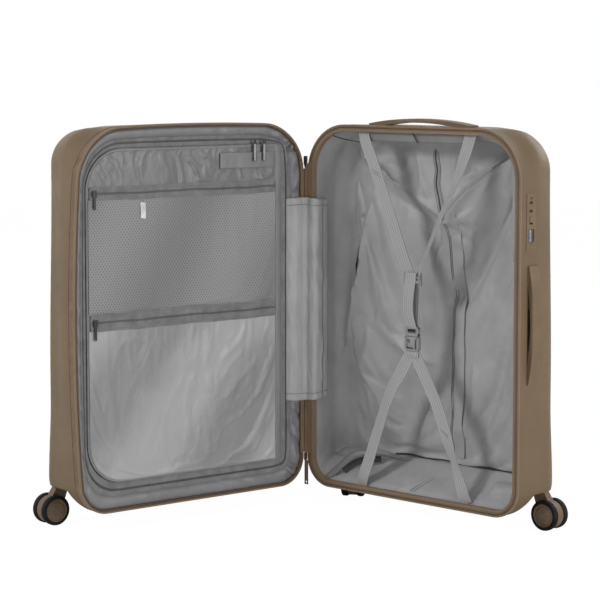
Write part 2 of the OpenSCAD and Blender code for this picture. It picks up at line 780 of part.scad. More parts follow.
// Two upright bars with their middles on the tube lines: size [x, depth], from y0 to y1
module tube_pair(size, y0, y1) {
    for (side = [-1, 1])
        translate([case_w / 2 + side * trolley_pitch / 2 - size[0] / 2, y0, tube_depth - size[1] / 2])
            cube([size[0], y1 - y0, size[1]]);
}
module trolley_outer_tubes() {
    color("silver") back_part() difference() {
        union() {
            tube_pair([tube_w, tube_t], tube_low, cup_low - soft);
            // feet that stand the tubes off the large face
            for (side = [-1, 1])
                translate([case_w / 2 + side * trolley_pitch / 2 - 20, tube_low - 8, tube_depth - 9])
                    cube([40, 20, back_depth - wall - 0.1 - tube_depth + 9]);
        }
        tube_pair([tube_w - 2 * tube_wall, tube_t - 2 * tube_wall], tube_low + 2, case_h);
    }
}
module trolley_cup() {
    color("dimgray") back_part() difference() {
        intersection() {
            cup_space(0);
            loaf_solid(case_line, cup_near - cup_wall, back_depth, edge_r);
        }
        translate([case_w / 2 - cup_w / 2 + cup_wall + 1, pocket_floor, cup_near + cup_wall])
            cube([cup_w - 2 * cup_wall - 2, 2 * cup_drop, back_depth]);
        tube_pair([mid_size[0] + 2 * slip, mid_size[1] + 2 * slip], cup_low - 5, case_h);
    }
}
module trolley_mid_tubes() {
    color("silver") back_part() difference() {
        tube_pair(mid_size, tube_low + 36, pocket_floor - slip);
        tube_pair(mid_size - 2 * [tube_wall, tube_wall], tube_low + 30, case_h);
    }
}
module trolley_grip() {
    grip_l = trolley_pitch + tube_w + 6;
    color("dimgray") back_part() difference() {
        union() {
            tube_pair(inner_size, tube_low + 56, grip_y);
            translate([case_w / 2 - grip_l / 2, grip_y, tube_depth]) rotate([0, 90, 0])
                cylinder(r = grip_r, h = grip_l);
        }
        translate([case_w / 2, grip_y + grip_r, tube_depth])
            cube([button[0] + 2 * slip, 2 * (button[1] + 1), button[2] + 2 * slip], center = true);
    }
}
button_travel = 3;
module trolley_button() {
    low = grip_y + grip_r - button[1] - 1 + button_travel + slip;
    color("black") back_part()
        translate([case_w / 2 - button[0] / 2, low, tube_depth - button[2] / 2])
            cube([button[0], grip_y + grip_r + 1 - low, button[2]]);
}

// --- Lock in the free side wall ---
lock_body = [lock_in, lock_l - 8, lock_w - 5];
dial_mid = lock_z - 24;
dial_x = case_w + lock_proud + 1.4 - dial_r;
shaft_r = 1.5;
key_z = lock_z + 43;
key_r = 3;
slot_z = [lock_z + 35, lock_z + 20];
lock_button_size = [5, 11, 9];
lock_button_z = lock_z + 5;
lock_travel = 3;
module at_lock(z) { translate([case_w, z, lock_depth]) children(); }
module lock_housing() {
    dial_room = 3 * dial_pitch + 1;
    color("dimgray") back_part() {
        difference() {
            union() {
                translate([case_w, lock_z - lock_l / 2, lock_depth - lock_w / 2])
                    cube([lock_proud, lock_l, lock_w]);
                translate([case_w - lock_in, lock_z - lock_body[1] / 2, lock_depth - lock_body[2] / 2])
                    cube([lock_in + 0.5, lock_body[1], lock_body[2]]);
            }
            at_lock(dial_mid) translate([dial_x - case_w - dial_r - slip, -dial_room / 2, -dial_r - slip])
                cube([40, dial_room, 2 * dial_r + 2 * slip]);
            at_lock(key_z) translate([-10, 0, 0]) rotate([0, 90, 0]) cylinder(r = key_r + run, h = 20);
            for (z = slot_z) at_lock(z) translate([-8, -1.6, -4.5]) cube([20, 3.2, 9]);
            at_lock(lock_button_z) translate([-lock_button_size[0], -lock_button_size[1] / 2 - lock_travel
                - slip, -lock_button_size[2] / 2 - slip])
                cube([20, lock_button_size[1] + lock_travel + 2 * slip, lock_button_size[2] + 2 * slip]);
        }
        translate([dial_x, dial_mid - dial_room / 2 - 1, lock_depth]) rotate([-90, 0, 0])
            cylinder(r = shaft_r, h = dial_room + 2);
    }
}
module key_cylinder() {
    color("silver") back_part() at_lock(key_z) difference() {
        translate([-9.5, 0, 0]) rotate([0, 90, 0]) cylinder(r = key_r, h = 9.5 + lock_proud);
        translate([lock_proud - 2, -0.4, -2]) cube([5, 0.8, 4]);
    }
}
module lock_button() {
    color("dimgray") back_part() at_lock(lock_button_z)
        translate([-lock_button_size[0] + slip, -lock_button_size[1] / 2, -lock_button_size[2] / 2])
            cube([lock_button_size[0] - slip + lock_proud + 0.6, lock_button_size[1], lock_button_size[2]]);
}
module dial(i) {
    color("silver") back_part()
        translate([dial_x, dial_mid + (1 - i) * dial_pitch - dial_pitch / 2 + slip / 2, lock_depth])
            rotate([-90, 0, 0]) difference() {
                cylinder(r = dial_r, h = dial_pitch - slip);
                translate([0, 0, -1]) cylinder(r = shaft_r + run, h = dial_pitch + 2);
                for (a = [0:36:359]) rotate(a) translate([dial_r + 0.55, 0, -1])
                    cylinder(r = 1, h = dial_pitch + 2, $fn = 16);
            }
}
module dial_1() { dial(0); }
module dial_2() { dial(1); }
module dial_3() { dial(2); }

// --- Casters, in a standing half's frame with the swivel axis as origin and x along the trail ---
module at_caster(d, free, heading) {
    translate([pivot(d, free)[0], pivot(d, free)[1], -floor_gap]) rotate(heading) children();
}
free_heading = 0;
back_hinge_heading = -60;
front_hinge_heading = 90;
web = wheel_pitch - wheel_w - 1;
axle_z = wheel_d / 2;
crown_z = floor_gap + recess_h - slip;
module upright(t) { rotate([90, 0, 0]) translate([0, 0, -t / 2]) linear_extrude(t) children(); }
module fork() {
    crown_r = 15;
    color(shell_colour) {
        translate([0, 0, crown_z - 5]) cylinder(r = crown_r, h = 5);
        translate([0, 0, crown_z - 1]) cylinder(d = stem_d, h = floor_gap + stem_top - crown_z + 1);
        difference() {
            upright(web) {
                translate([trail, axle_z]) circle(axle_z - 2.5);
                polygon([[-crown_r + 3, crown_z - 1], [crown_r - 2, crown_z - 1],
                    [trail + 6, axle_z + 20], [trail, axle_z], [trail - 22, axle_z + 8]]);
            }
            translate([trail, 0, axle_z]) rotate([90, 0, 0])
                cylinder(d = axle_d + 0.04, h = web + 2, center = true);
        }
    }
}
axle_l = wheel_pitch + wheel_w - 4;
module axle() {
    color("silver") translate([trail, 0, axle_z]) rotate([90, 0, 0])
        cylinder(d = axle_d, h = axle_l, center = true);
}
// A rectangle with one rounded corner pair, for the tyre's section
module tyre_section() {
    r = 3.5;
    w = wheel_w;
    translate([hub_d / 2, 0]) square([(wheel_d - hub_d) / 2 - r, w]);
    translate([hub_d / 2, r]) square([(wheel_d - hub_d) / 2, w - 2 * r]);
    for (y = [r, w - r]) translate([wheel_d / 2 - r, y]) circle(r);
}
module wheel(side) {
    translate([trail, side * (wheel_pitch - wheel_w) / 2, axle_z]) rotate([side * -90, 0, 0]) {
        color([0.1, 0.1, 0.1]) rotate_extrude($fn = 96) tyre_section();
        color(shell_colour) difference() {
            rotate_extrude($fn = 96) polygon([[0, 0.5], [hub_d / 2, 0.5], [hub_d / 2, wheel_w - 1],
                [hub_d / 2 - 2, wheel_w - 0.4], [hub_d / 2 - 3, wheel_w - 1.2], [9, wheel_w + 0.2],
                [0, wheel_w + 0.6]]);
            translate([0, 0, -1]) cylinder(d = axle_d + 2 * run, h = wheel_w - 0.5);
        }
    }
}
module back_caster(free) {
    back_free() at_caster(back_depth, free, free ? free_heading : back_hinge_heading) children();
}
module front_caster(free) {
    front_free() at_caster(front_depth, free, free ? free_heading : front_hinge_heading) children();
}

back_shell();
back_rim();
back_zip();
back_wheel_housings();
front_shell();
front_rim();
front_zip();
expander_band();
front_wheel_housings();
hinge_tape();
hinge_cover();
back_liner();
front_liner();
liner_zip();
liner_zip_pull();
divider_panel();
pocket_zips();
upper_pocket_pull();
lower_pocket_pull();
divider_pull_a();
divider_pull_b();
care_label();
upper_straps();
lower_straps();
strap_ring();
adjuster_loop();
buckle_plug();
buckle_socket();
main_pull_top();
main_pull_bottom();
top_handle();
side_handle();
handle_plates();
trolley_outer_tubes();
trolley_cup();
trolley_mid_tubes();
trolley_grip();
trolley_button();
lock_housing();
lock_button();
key_cylinder();
dial_1();
dial_2();
dial_3();
back_caster(true) fork();  // fork_back_free
back_caster(false) fork();  // fork_back_hinge
front_caster(true) fork();  // fork_front_free
front_caster(false) fork();  // fork_front_hinge
back_caster(true) axle();  // axle_back_free
back_caster(false) axle();  // axle_back_hinge
front_caster(true) axle();  // axle_front_free
front_caster(false) axle();  // axle_front_hinge
back_caster(true) wheel(-1);  // wheel_back_free_a
back_caster(true) wheel(1);  // wheel_back_free_b
back_caster(false) wheel(-1);  // wheel_back_hinge_a
back_caster(false) wheel(1);  // wheel_back_hinge_b
front_caster(true) wheel(-1);  // wheel_front_free_a
front_caster(true) wheel(1);  // wheel_front_free_b
front_caster(false) wheel(-1);  // wheel_front_hinge_a
front_caster(false) wheel(1);  // wheel_front_hinge_b
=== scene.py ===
import json
import math
import bpy
import bmesh
import numpy as np
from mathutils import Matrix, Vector


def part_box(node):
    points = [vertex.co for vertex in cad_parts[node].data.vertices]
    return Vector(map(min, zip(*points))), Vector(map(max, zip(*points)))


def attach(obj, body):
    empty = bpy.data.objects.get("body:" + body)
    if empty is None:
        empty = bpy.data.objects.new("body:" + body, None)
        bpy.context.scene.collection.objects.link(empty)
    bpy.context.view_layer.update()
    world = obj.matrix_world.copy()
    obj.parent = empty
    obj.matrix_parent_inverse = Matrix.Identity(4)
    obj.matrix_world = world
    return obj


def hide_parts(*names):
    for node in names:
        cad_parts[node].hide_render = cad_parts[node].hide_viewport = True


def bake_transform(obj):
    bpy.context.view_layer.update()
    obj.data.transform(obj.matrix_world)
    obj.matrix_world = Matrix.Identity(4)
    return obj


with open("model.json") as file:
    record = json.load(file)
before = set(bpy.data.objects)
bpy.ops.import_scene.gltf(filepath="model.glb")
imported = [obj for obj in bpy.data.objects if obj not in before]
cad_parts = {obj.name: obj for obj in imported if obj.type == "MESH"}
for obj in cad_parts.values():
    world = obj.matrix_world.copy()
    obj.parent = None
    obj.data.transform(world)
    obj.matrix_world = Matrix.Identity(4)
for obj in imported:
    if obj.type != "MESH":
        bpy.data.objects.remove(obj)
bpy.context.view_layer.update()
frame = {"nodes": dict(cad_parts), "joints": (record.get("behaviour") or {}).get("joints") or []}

NODE = frame["nodes"]
JOINT = {j["name"]: j for j in frame["joints"]}

# ---- frame of the case, in millimetres
HX, HY = (1000 * c for c in JOINT["shell_hinge"]["pos_m"][:2])
OPEN = math.radians(-JOINT["shell_hinge"]["range_deg"][0])
SHELL_LO, SHELL_HI = ([1000 * c for c in p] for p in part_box("back_shell"))
GAP = SHELL_LO[0] - HX
W = SHELL_HI[0] - SHELL_LO[0]
H = SHELL_HI[2] - SHELL_LO[2]
FLOOR_GAP = SHELL_LO[2]
TOP = FLOOR_GAP + H
# radii of the case's upper, lower and face edges
TOP_R, LOW_R, EDGE_R = 92.0, 54.0, 44.0
# how far the front rim stands out at its side and its top, and the shells draw in at their faces
BOW_SIDE, BOW_TOP, WAIST = 13.0, 6.0, 14.0
# depth of each half, and there the radius and the drop of its upper corners
FRONT_DEPTH, BACK_DEPTH = 149.0, 138.0
FAR_CORNER = {FRONT_DEPTH: (58, 11), BACK_DEPTH: (68, 14)}


def back_map(p):
    """The back half's local points to the row frame, in metres. Local points are in millimetres: width from
    the hinge side, height over the floor, depth from the closing plane."""
    p = np.asarray(p, float)
    return np.stack([HX + GAP + p[..., 0], HY + p[..., 2], p[..., 1]], -1) / 1000


def front_map(p):
    """The same for the front half, open at the hinge."""
    p = np.asarray(p, float)
    x, y = GAP + p[..., 0], -p[..., 2]
    c, s = math.cos(OPEN), math.sin(OPEN)
    return np.stack([HX + x * c + y * s, HY - x * s + y * c, p[..., 1]], -1) / 1000


def back_unmap(v):
    v = np.asarray(v, float) * 1000
    return np.stack([v[..., 0] - HX - GAP, v[..., 2], v[..., 1] - HY], -1)


def front_unmap(v):
    """The row frame to the front half's local points; back_unmap does it for the back half."""
    v = np.asarray(v, float) * 1000
    dx, dy = v[..., 0] - HX, v[..., 1] - HY
    c, s = math.cos(OPEN), math.sin(OPEN)
    x, y = dx * c - dy * s, dx * s + dy * c
    return np.stack([x - GAP, v[..., 2], -y], -1)


MAPS = {"back": back_map, "front": front_map}


def smooth(a, b, x):
    """0 up to a and 1 from b on, with a smooth step between them."""
    t = np.clip((np.asarray(x, float) - a) / (b - a), 0, 1)
    return t * t * (3 - 2 * t)


def tighten(p, far_r):
    """The upper corners of a shell are tighter away from its rim."""
    p = np.array(p, float)
    e = (TOP_R - far_r) * smooth(18, 66, p[..., 2])
    b = p[..., 1] - (TOP - TOP_R)
    for at, sign in ((TOP_R, -1), (W - TOP_R, 1)):
        a = (p[..., 0] - at) * sign
        rho = np.maximum(np.hypot(a, b), 1e-6)
        c, s = np.clip(a / rho, 0, 1), np.clip(b / rho, 0, 1)
        box = TOP_R / np.maximum(np.maximum(c, s), 1e-6)
        r = TOP_R - e
        arc = e * (c + s) + np.sqrt(np.maximum(r * r - e * e * (2 - (c + s) ** 2), 0))
        f = np.where(box * np.minimum(c, s) <= e, box, arc) / TOP_R
        f = np.where((a > 0) & (b > 0), f, 1.0)
        p[..., 0] = at + (p[..., 0] - at) * f
        p[..., 1] = (TOP - TOP_R) + b * f
        b = p[..., 1] - (TOP - TOP_R)
    return p


def calm_ribs(p, depth):
    """The ribs fade out where they run round the side edges."""
    p = np.array(p, float)
    side = np.where(p[..., 0] < W / 2, -1.0, 1.0)
    qu, qd = EDGE_R - np.where(side < 0, p[..., 0], W - p[..., 0]), p[..., 2] - (depth - EDGE_R)
    rho = np.maximum(np.hypot(qu, np.maximum(qd, 0)), 1e-6)
    over = np.where(qu > 0, np.maximum(rho - EDGE_R, 0), 0)
    keep = 0.06 + 0.94 * smooth(36, 80, np.degrees(np.arctan2(np.maximum(qd, 0), np.maximum(qu, 1e-6))))
    k = 1 - over * (1 - keep) / rho
    p[..., 0] += side * qu * (k - 1)
    p[..., 2] += np.maximum(qd, 0) * (k - 1)
    return p


def waist(p, depth):
    """The shells draw in a little towards their large faces, above the casters."""
    far_r, far_drop = FAR_CORNER[depth]
    p = tighten(p, far_r)
    u, z, d = p[..., 0].copy(), p[..., 1], p[..., 2]
    up = 0.45 * smooth(50, 200, z - FLOOR_GAP) + 0.55 * smooth(250, 620, z - FLOOR_GAP)
    k = WAIST * smooth(54, depth, d) * up
    drop = far_drop * smooth(36, depth, d) * smooth(122, 232, abs(u - W / 2))
    p[..., 1] = z - drop * smooth(TOP - 170, TOP, z)
    p[..., 0] = u + k * (smooth(W * 0.3, 0, u) - smooth(W * 0.7, W, u))
    return p


def bow(p):
    """The front half's rim stands out in the middle of its free side and its top: its expander is soft."""
    p = np.array(p, float)
    u, z = p[..., 0].copy(), p[..., 1].copy()
    near = 1 - smooth(22, 100, p[..., 2])
    k = np.clip((z - FLOOR_GAP - LOW_R * 0.6) / (H - LOW_R * 0.6 - TOP_R * 0.6), 0, 1)
    side = np.sin(math.pi * k) ** 0.75
    p[..., 0] = u + BOW_SIDE * near * side * smooth(W * 0.45, W, u)
    m = np.clip((u - 40) / (W - 80), 0, 1)
    high = smooth(FLOOR_GAP + H * 0.6, TOP, z)
    p[..., 1] = z + BOW_TOP * (0.3 + 0.7 * near) * np.sin(math.pi * m) ** 0.8 * high
    return waist(p, FRONT_DEPTH)


# ---- materials
def linear(c):
    """An sRGB colour of 0 to 255 as Blender's linear one."""
    return [v / 12.92 if v <= 0.04045 else ((v + 0.055) / 1.055) ** 2.4 for v in (x / 255 for x in c)] + [1]


def add_node(tree, kind, **values):
    """A node, with inputs by name (_ for a space) and properties by name after a _."""
    n = tree.nodes.new(kind)
    for k, v in values.items():
        if k.startswith("_"):
            setattr(n, k[1:], v)
        else:
            n.inputs[k.replace("_", " ")].default_value = v
    return n


class Mat:
    """A small builder for node materials."""

    def __init__(self, name, rgb, rough, spec=0.5, metal=0.0, sheen=0.0):
        self.m = bpy.data.materials.new(name)
        self.m.use_nodes = True
        self.t = self.m.node_tree
        self.b = self.t.nodes["Principled BSDF"]
        look = {"Base Color": linear(rgb), "Roughness": rough, "Specular IOR Level": spec, "Metallic": metal,
                "Sheen Weight": sheen, "Sheen Roughness": 0.4}
        for k, v in look.items():
            self.b.inputs[k].default_value = v
        self.rgb = rgb
        self.normal = None
        self.coord = {}

    def node(self, kind, **values):
        return add_node(self.t, kind, **values)

    def link(self, a, b):
        self.t.links.new(a, b)

    def space(self, kind, scale=(1, 1, 1), turn=(0, 0, 0)):
        key = (kind, scale, turn)
        if key not in self.coord:
            c = self.node("ShaderNodeTexCoord")
            m = self.node("ShaderNodeMapping", Scale=scale, Rotation=turn)
            self.link(c.outputs[kind], m.inputs["Vector"])
            self.coord[key] = m.outputs["Vector"]
        return self.coord[key]

    def noise(self, scale, detail=4, rough=0.55, stretch=(1, 1, 1), distort=0.0):
        n = self.node("ShaderNodeTexNoise", Scale=scale, Detail=detail, Roughness=rough, Distortion=distort)
        self.link(self.space("Object", stretch), n.inputs["Vector"])
        return n.outputs["Fac"]

    def wave(self, scale, direction="X", turn=0.0, distort=0.0):
        w = self.node("ShaderNodeTexWave", Scale=scale, Distortion=distort, _bands_direction=direction)
        self.link(self.space("UV", turn=(0, 0, math.radians(turn))), w.inputs["Vector"])
        return w.outputs["Fac"]

    def math(self, op, a, b):
        n = self.node("ShaderNodeMath", _operation=op)
        for i, v in enumerate((a, b)):
            if isinstance(v, (int, float)):
                n.inputs[i].default_value = v
            else:
                self.link(v, n.inputs[i])
        return n.outputs[0]

    def mixed(self, a, b, share):
        """So much of one factor and the rest of another."""
        return self.math("ADD", self.math("MULTIPLY", a, share), self.math("MULTIPLY", b, 1 - share))

    def ramp(self, fac, stops):
        r = self.node("ShaderNodeValToRGB")
        e = r.color_ramp.elements
        while len(e) < len(stops):
            e.new(0.5)
        for k, (pos, col) in zip(e, stops):
            k.position, k.color = pos, col
        self.link(fac, r.inputs["Fac"])
        return r.outputs["Color"]

    def tint(self, fac, low, high, end=0.7):
        """Varies the base colour between two shares of itself."""
        stops = [(at, linear([min(c * k, 255) for c in self.rgb])) for at, k in ((0.3, low), (end, high))]
        self.link(self.ramp(fac, stops), self.b.inputs["Base Color"])

    def vary_rough(self, fac, low, high):
        r = self.node("ShaderNodeMapRange", From_Min=0.3, From_Max=0.7, To_Min=low, To_Max=high)
        self.link(fac, r.inputs["Value"])
        self.link(r.outputs["Result"], self.b.inputs["Roughness"])

    def bump(self, fac, distance, strength=1.0):
        n = self.node("ShaderNodeBump", Strength=strength, Distance=distance)
        self.link(fac, n.inputs["Height"])
        if self.normal:
            self.link(self.normal, n.inputs["Normal"])
        self.normal = n.outputs["Normal"]
        self.link(self.normal, self.b.inputs["Normal"])


def shell_material(name, rgb, rough=0.42):
    m = Mat(name, rgb, rough, spec=0.2)
    m.tint(m.noise(9, 5), 0.95, 1.04)
    m.vary_rough(m.noise(35, 4), rough - 0.05, rough + 0.08)
    m.bump(m.noise(900, 2), 0.00012, 0.35)
    m.bump(m.noise(60, 3, stretch=(1, 1, 3)), 0.0004, 0.12)
    return m.m


def painted_fold_shade(m, turn=-52):
    """Broad slanting bands of painted light and shade, standing in for the shading of slack cloth's folds."""
    return m.wave(1.25, turn=turn, distort=4.0)


def satin_material(name, rgb, rough=0.5, crumple=0.5, painted_shade_share=0.0):
    m = Mat(name, rgb, rough, spec=0.6)
    # a share of the colour is painted light and shade of broad folds, turned round; the rest is random tone
    if painted_shade_share:
        m.tint(m.mixed(m.math("SUBTRACT", 1.0, painted_fold_shade(m)), m.noise(14, 4), painted_shade_share), 0.86, 1.05)
    else:
        m.tint(m.noise(14, 4), 0.94, 1.04)
    m.bump(m.noise(9, 3, 0.5, distort=1.6, stretch=(1, 1, 0.6)), 0.014, crumple * 0.6)
    m.bump(m.noise(26, 4, 0.55, distort=1.0, stretch=(1, 1, 0.7)), 0.004, crumple * 0.5)
    m.bump(m.noise(80, 4, 0.6, distort=0.8), 0.0009, crumple * 0.5)
    m.bump(m.math("MULTIPLY", m.wave(180), m.wave(180, "Y")), 0.00015, 0.3)
    return m.m


def webbing_material(name, rgb):
    m = Mat(name, rgb, 0.62, spec=0.3)
    ribs = m.wave(60)
    m.tint(m.mixed(ribs, m.noise(30, 3), 0.6), 0.94, 1.04)
    m.bump(ribs, 0.0005, 0.5)
    m.bump(m.wave(150, "DIAGONAL"), 0.0002, 0.4)
    return m.m


def mesh_material(name, rgb):
    m = Mat(name, rgb, 0.7, spec=0.25, sheen=0.2)
    net = m.math("MAXIMUM", m.wave(62, turn=33), m.wave(62, turn=-33))
    # the net's real pattern is mixed with painted light and shade of broad folds
    m.tint(m.mixed(net, painted_fold_shade(m, -40), 0.66), 0.76, 1.03, end=0.92)
    m.bump(net, 0.0006, 0.5)
    return m.m


def cloth_tape_material(name, rgb):
    m = Mat(name, rgb, 0.75, spec=0.2, sheen=0.2)
    m.tint(m.noise(50, 3), 0.9, 1.07)
    m.bump(m.wave(330), 0.0003, 0.5)
    m.bump(m.wave(500, "Y"), 0.0002, 0.4)
    return m.m


def plastic_material(name, rgb, rough=0.4):
    m = Mat(name, rgb, rough, spec=0.25)
    m.tint(m.noise(25, 3), 0.94, 1.05)
    m.vary_rough(m.noise(80, 3), rough - 0.06, rough + 0.08)
    m.bump(m.noise(1400, 2), 0.0001, 0.3)
    return m.m


def metal_material(name, rgb, rough=0.3):
    m = Mat(name, rgb, rough, spec=0.5, metal=1.0)
    m.tint(m.noise(40, 3), 0.92, 1.04)
    m.vary_rough(m.noise(200, 3, stretch=(1, 1, 12)), rough - 0.08, rough + 0.1)
    m.bump(m.noise(500, 2, stretch=(1, 1, 20)), 0.00005, 0.4)
    return m.m


def rubber_material(name, rgb):
    m = Mat(name, rgb, 0.62, spec=0.15)
    m.tint(m.noise(60, 4), 0.75, 1.3)
    m.vary_rough(m.noise(90, 4), 0.5, 0.75)
    m.bump(m.noise(700, 3), 0.0002, 0.4)
    return m.m


SHELL = shell_material("shell_taupe", (113, 95, 74))
RIM = shell_material("rim_taupe", (128, 109, 88), 0.46)
HANDLE = plastic_material("handle_taupe", (116, 97, 76), 0.5)
FORK = plastic_material("fork_taupe", (114, 95, 76), 0.42)
HUB = plastic_material("hub_taupe", (113, 95, 76), 0.42)
TYRE = rubber_material("tyre_black", (20, 20, 21))
LINING = satin_material("lining_satin", (158, 158, 159), 0.47, 0.6)
LINING_SMOOTH = satin_material("lining_smooth", (120, 120, 121), 0.47, 0.45)
COVER = satin_material("cover_cloth", (164, 164, 165), 0.5, 0.35)
ZONE = satin_material("top_zone_satin", (112, 112, 113), 0.42, 0.9)
PANEL = satin_material("panel_cloth", (134, 134, 135), 0.55, 0.35)
# the lower pocket's colour carries painted light and shade of broad folds
POCKET = satin_material("pocket_satin", (158, 158, 159), 0.47, 0.45, painted_shade_share=0.55)
NET = mesh_material("pocket_net", (149, 149, 150))
WEB = webbing_material("webbing_grey", (160, 160, 160))
TAPE = cloth_tape_material("zip_tape_grey", (128, 128, 129))
BAND = cloth_tape_material("expander_cloth", (116, 97, 78))
COIL = plastic_material("zip_coil_brown", (86, 70, 56), 0.45)
COIL_GREY = plastic_material("zip_coil_grey", (108, 108, 109), 0.45)
# dark of the liner zip's groove, and also painted shade under the floor flap and along the floor's join
DARK_ZIP_AND_SHADE = plastic_material("zip_dark_and_painted_shade", (62, 62, 63), 0.5)
DARK_METAL = metal_material("pull_dark", (58, 58, 60), 0.35)
# dark of the pull tabs' edges, partly painted shadow at their sides
PULL = metal_material("pull_steel_and_painted_shadow", (66, 66, 68), 0.4)
PULL_LIGHT = plastic_material("pull_light", (158, 158, 158), 0.42)
BUCKLE = plastic_material("buckle_grey", (140, 140, 140), 0.4)
BLACK = plastic_material("plastic_black", (28, 28, 28), 0.5)
LABEL = cloth_tape_material("label_white", (228, 228, 226))
ALU = metal_material("tube_aluminium", (196, 196, 198), 0.25)
STEEL = metal_material("axle_steel", (150, 150, 150), 0.3)
CHROME = metal_material("dial_metal", (98, 100, 104), 0.35)
LOCK = plastic_material("lock_taupe", (117, 98, 77), 0.45)


# ---- mesh builders
def put(name, verts, faces, mat, body, uvs=None, replaced=(), slot=None, flat=False, angle=40, solid=0.0):
    """A mesh from points in the row frame, riding on a body."""
    me = bpy.data.meshes.new(name)
    me.from_pydata([tuple(v) for v in np.asarray(verts, float)], [], faces)
    me.materials.append(mat)
    if uvs is not None:
        layer = me.uv_layers.new(name="UVMap")
        idx = np.zeros(len(me.loops), int)
        me.loops.foreach_get("vertex_index", idx)
        layer.data.foreach_set("uv", np.asarray(uvs, float)[idx].ravel())
    me.validate()
    me.update()
    if not flat:
        me.polygons.foreach_set("use_smooth", [True] * len(me.polygons))
        me.set_sharp_from_angle(angle=math.radians(angle))
    ob = bpy.data.objects.new(name, me)
    bpy.context.scene.collection.objects.link(ob)
    if solid:
        mod = ob.modifiers.new("thickness", "SOLIDIFY")
        mod.thickness, mod.offset = solid, 0.0
    if body:
        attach(ob, body)
    if replaced:
        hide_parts(*replaced)
    return ob


def quads(n, m, close_u=False, close_v=False):
    """The faces of a grid of n rows and m columns."""
    return [(i * m + j, i * m + (j + 1) % m, (i + 1) % n * m + (j + 1) % m, (i + 1) % n * m + j)
            for i in range(n if close_u else n - 1) for j in range(m if close_v else m - 1)]


def grid(name, P, mat, body, half="back", close_v=False, close_u=False, **more):
    """A surface from (rows, columns, 3) local points; without a half, from the row frame's in millimetres."""
    P = np.asarray(P, float)
    n, m = P.shape[:2]
    V = MAPS[half](P) if half else P / 1000
    du, dv = (np.cumsum(np.linalg.norm(np.diff(V, axis=k), axis=2), k) for k in (1, 0))
    du = np.concatenate([np.zeros((n, 1)), du], 1).mean(0)
    dv = np.concatenate([np.zeros((1, m)), dv], 0).mean(1)
    uv = np.stack(np.meshgrid(du, dv), -1).reshape(-1, 2)
    return put(name, V.reshape(-1, 3), quads(n, m, close_u, close_v), mat, body, uvs=uv, **more)


def walk(corners, arc_n, count):
    """Points and outward normals along straight sides and round corners (centre, radius, first angle)."""
    pts, nor = [], []
    for k, (cx, cz, r, a0) in enumerate(corners):
        px, pz, pr, _ = corners[k - 1]
        turn = [math.radians(a0 + 90 * i / arc_n) for i in range(arc_n)]
        round_it = [(math.cos(t), math.sin(t)) for t in turn]
        c, s = round_it[0]
        start, end = np.array([px + pr * c, pz + pr * s]), np.array([cx + r * c, cz + r * s])
        runs = max(2, count(np.linalg.norm(end - start)))
        pts += [start + (end - start) * i / runs for i in range(runs)]
        pts += [(cx + r * c, cz + r * s) for c, s in round_it]
        nor += round_it[:1] * runs + round_it
    return np.array(pts), np.array(nor)


def outline(o, inset=0.0, arc_n=12, step=12.0):
    """Round a rectangle [u0, z0, width, height, top r, low r], up the free side first."""
    u0, z0, w, h, tr, lr = o
    u0, z0, w, h = u0 + inset, z0 + inset, w - 2 * inset, h - 2 * inset
    tr, lr = max(tr - inset, 1), max(lr - inset, 1)
    corners = [(u0 + w - lr, z0 + lr, lr, -90), (u0 + w - tr, z0 + h - tr, tr, 0),
               (u0 + tr, z0 + h - tr, tr, 90), (u0 + lr, z0 + lr, lr, 180)]
    return walk(corners, arc_n, lambda length: int(round(length / step)))


CASE = [0.0, FLOOR_GAP, W, H, TOP_R, LOW_R]


def sweep(pts, out, profile):
    """A profile of (outward, depth) pairs carried round an outline."""
    return np.stack([np.column_stack([pts + out * o, np.full(len(pts), float(d))]) for o, d in profile], 1)


def tube(name, path, r, mat, body, half="back", n=6, closed=False, **more):
    """A round tube along local points."""
    path = np.asarray(path, float)
    tangent = np.roll(path, -1, 0) - np.roll(path, 1, 0) if closed else np.gradient(path, axis=0)
    tangent /= np.linalg.norm(tangent, axis=1)[:, None]
    side = np.cross(tangent, [0.0, 0.0, 1.0])
    side[np.linalg.norm(side, axis=1) < 1e-3] = [1, 0, 0]
    side /= np.linalg.norm(side, axis=1)[:, None]
    up = np.cross(side, tangent)
    a = np.linspace(0, 2 * math.pi, n, endpoint=False)[None, :, None]
    P = path[:, None, :] + r * (np.cos(a) * side[:, None, :] + np.sin(a) * up[:, None, :])
    return grid(name, P, mat, body, half, close_v=True, close_u=closed, **more)


def join_boxes(name, boxes, mat, body, half="back", bevel=0.4, segments=2, **more):
    """Bevelled blocks [u0, z0, d0, u1, z1, d1] as one piece."""
    bm = bmesh.new()
    for b in boxes:
        lo, hi = np.array(b[:3], float), np.array(b[3:], float)
        made = bmesh.ops.create_cube(bm, size=1.0)["verts"]
        for v in made:
            v.co = Vector(lo + (np.array(v.co) + 0.5) * (hi - lo))
        r = min(bevel, 0.45 * float(min(hi - lo)))
        edges = list({e for v in made for e in v.link_edges})
        bmesh.ops.bevel(bm, geom=edges, offset=r, segments=segments, profile=0.5, affect="EDGES")
    bm.verts.ensure_lookup_table()
    for v in bm.verts:
        v.co = Vector(MAPS[half](np.array(v.co)))
    bmesh.ops.recalc_face_normals(bm, faces=bm.faces)
    me = bpy.data.meshes.new(name)
    bm.to_mesh(me)
    bm.free()
    V = np.zeros(len(me.vertices) * 3)
    me.vertices.foreach_get("co", V)
    F = [tuple(p.vertices) for p in me.polygons]
    bpy.data.meshes.remove(me)
    return put(name, V.reshape(-1, 3), F, mat, body, angle=35, **more)


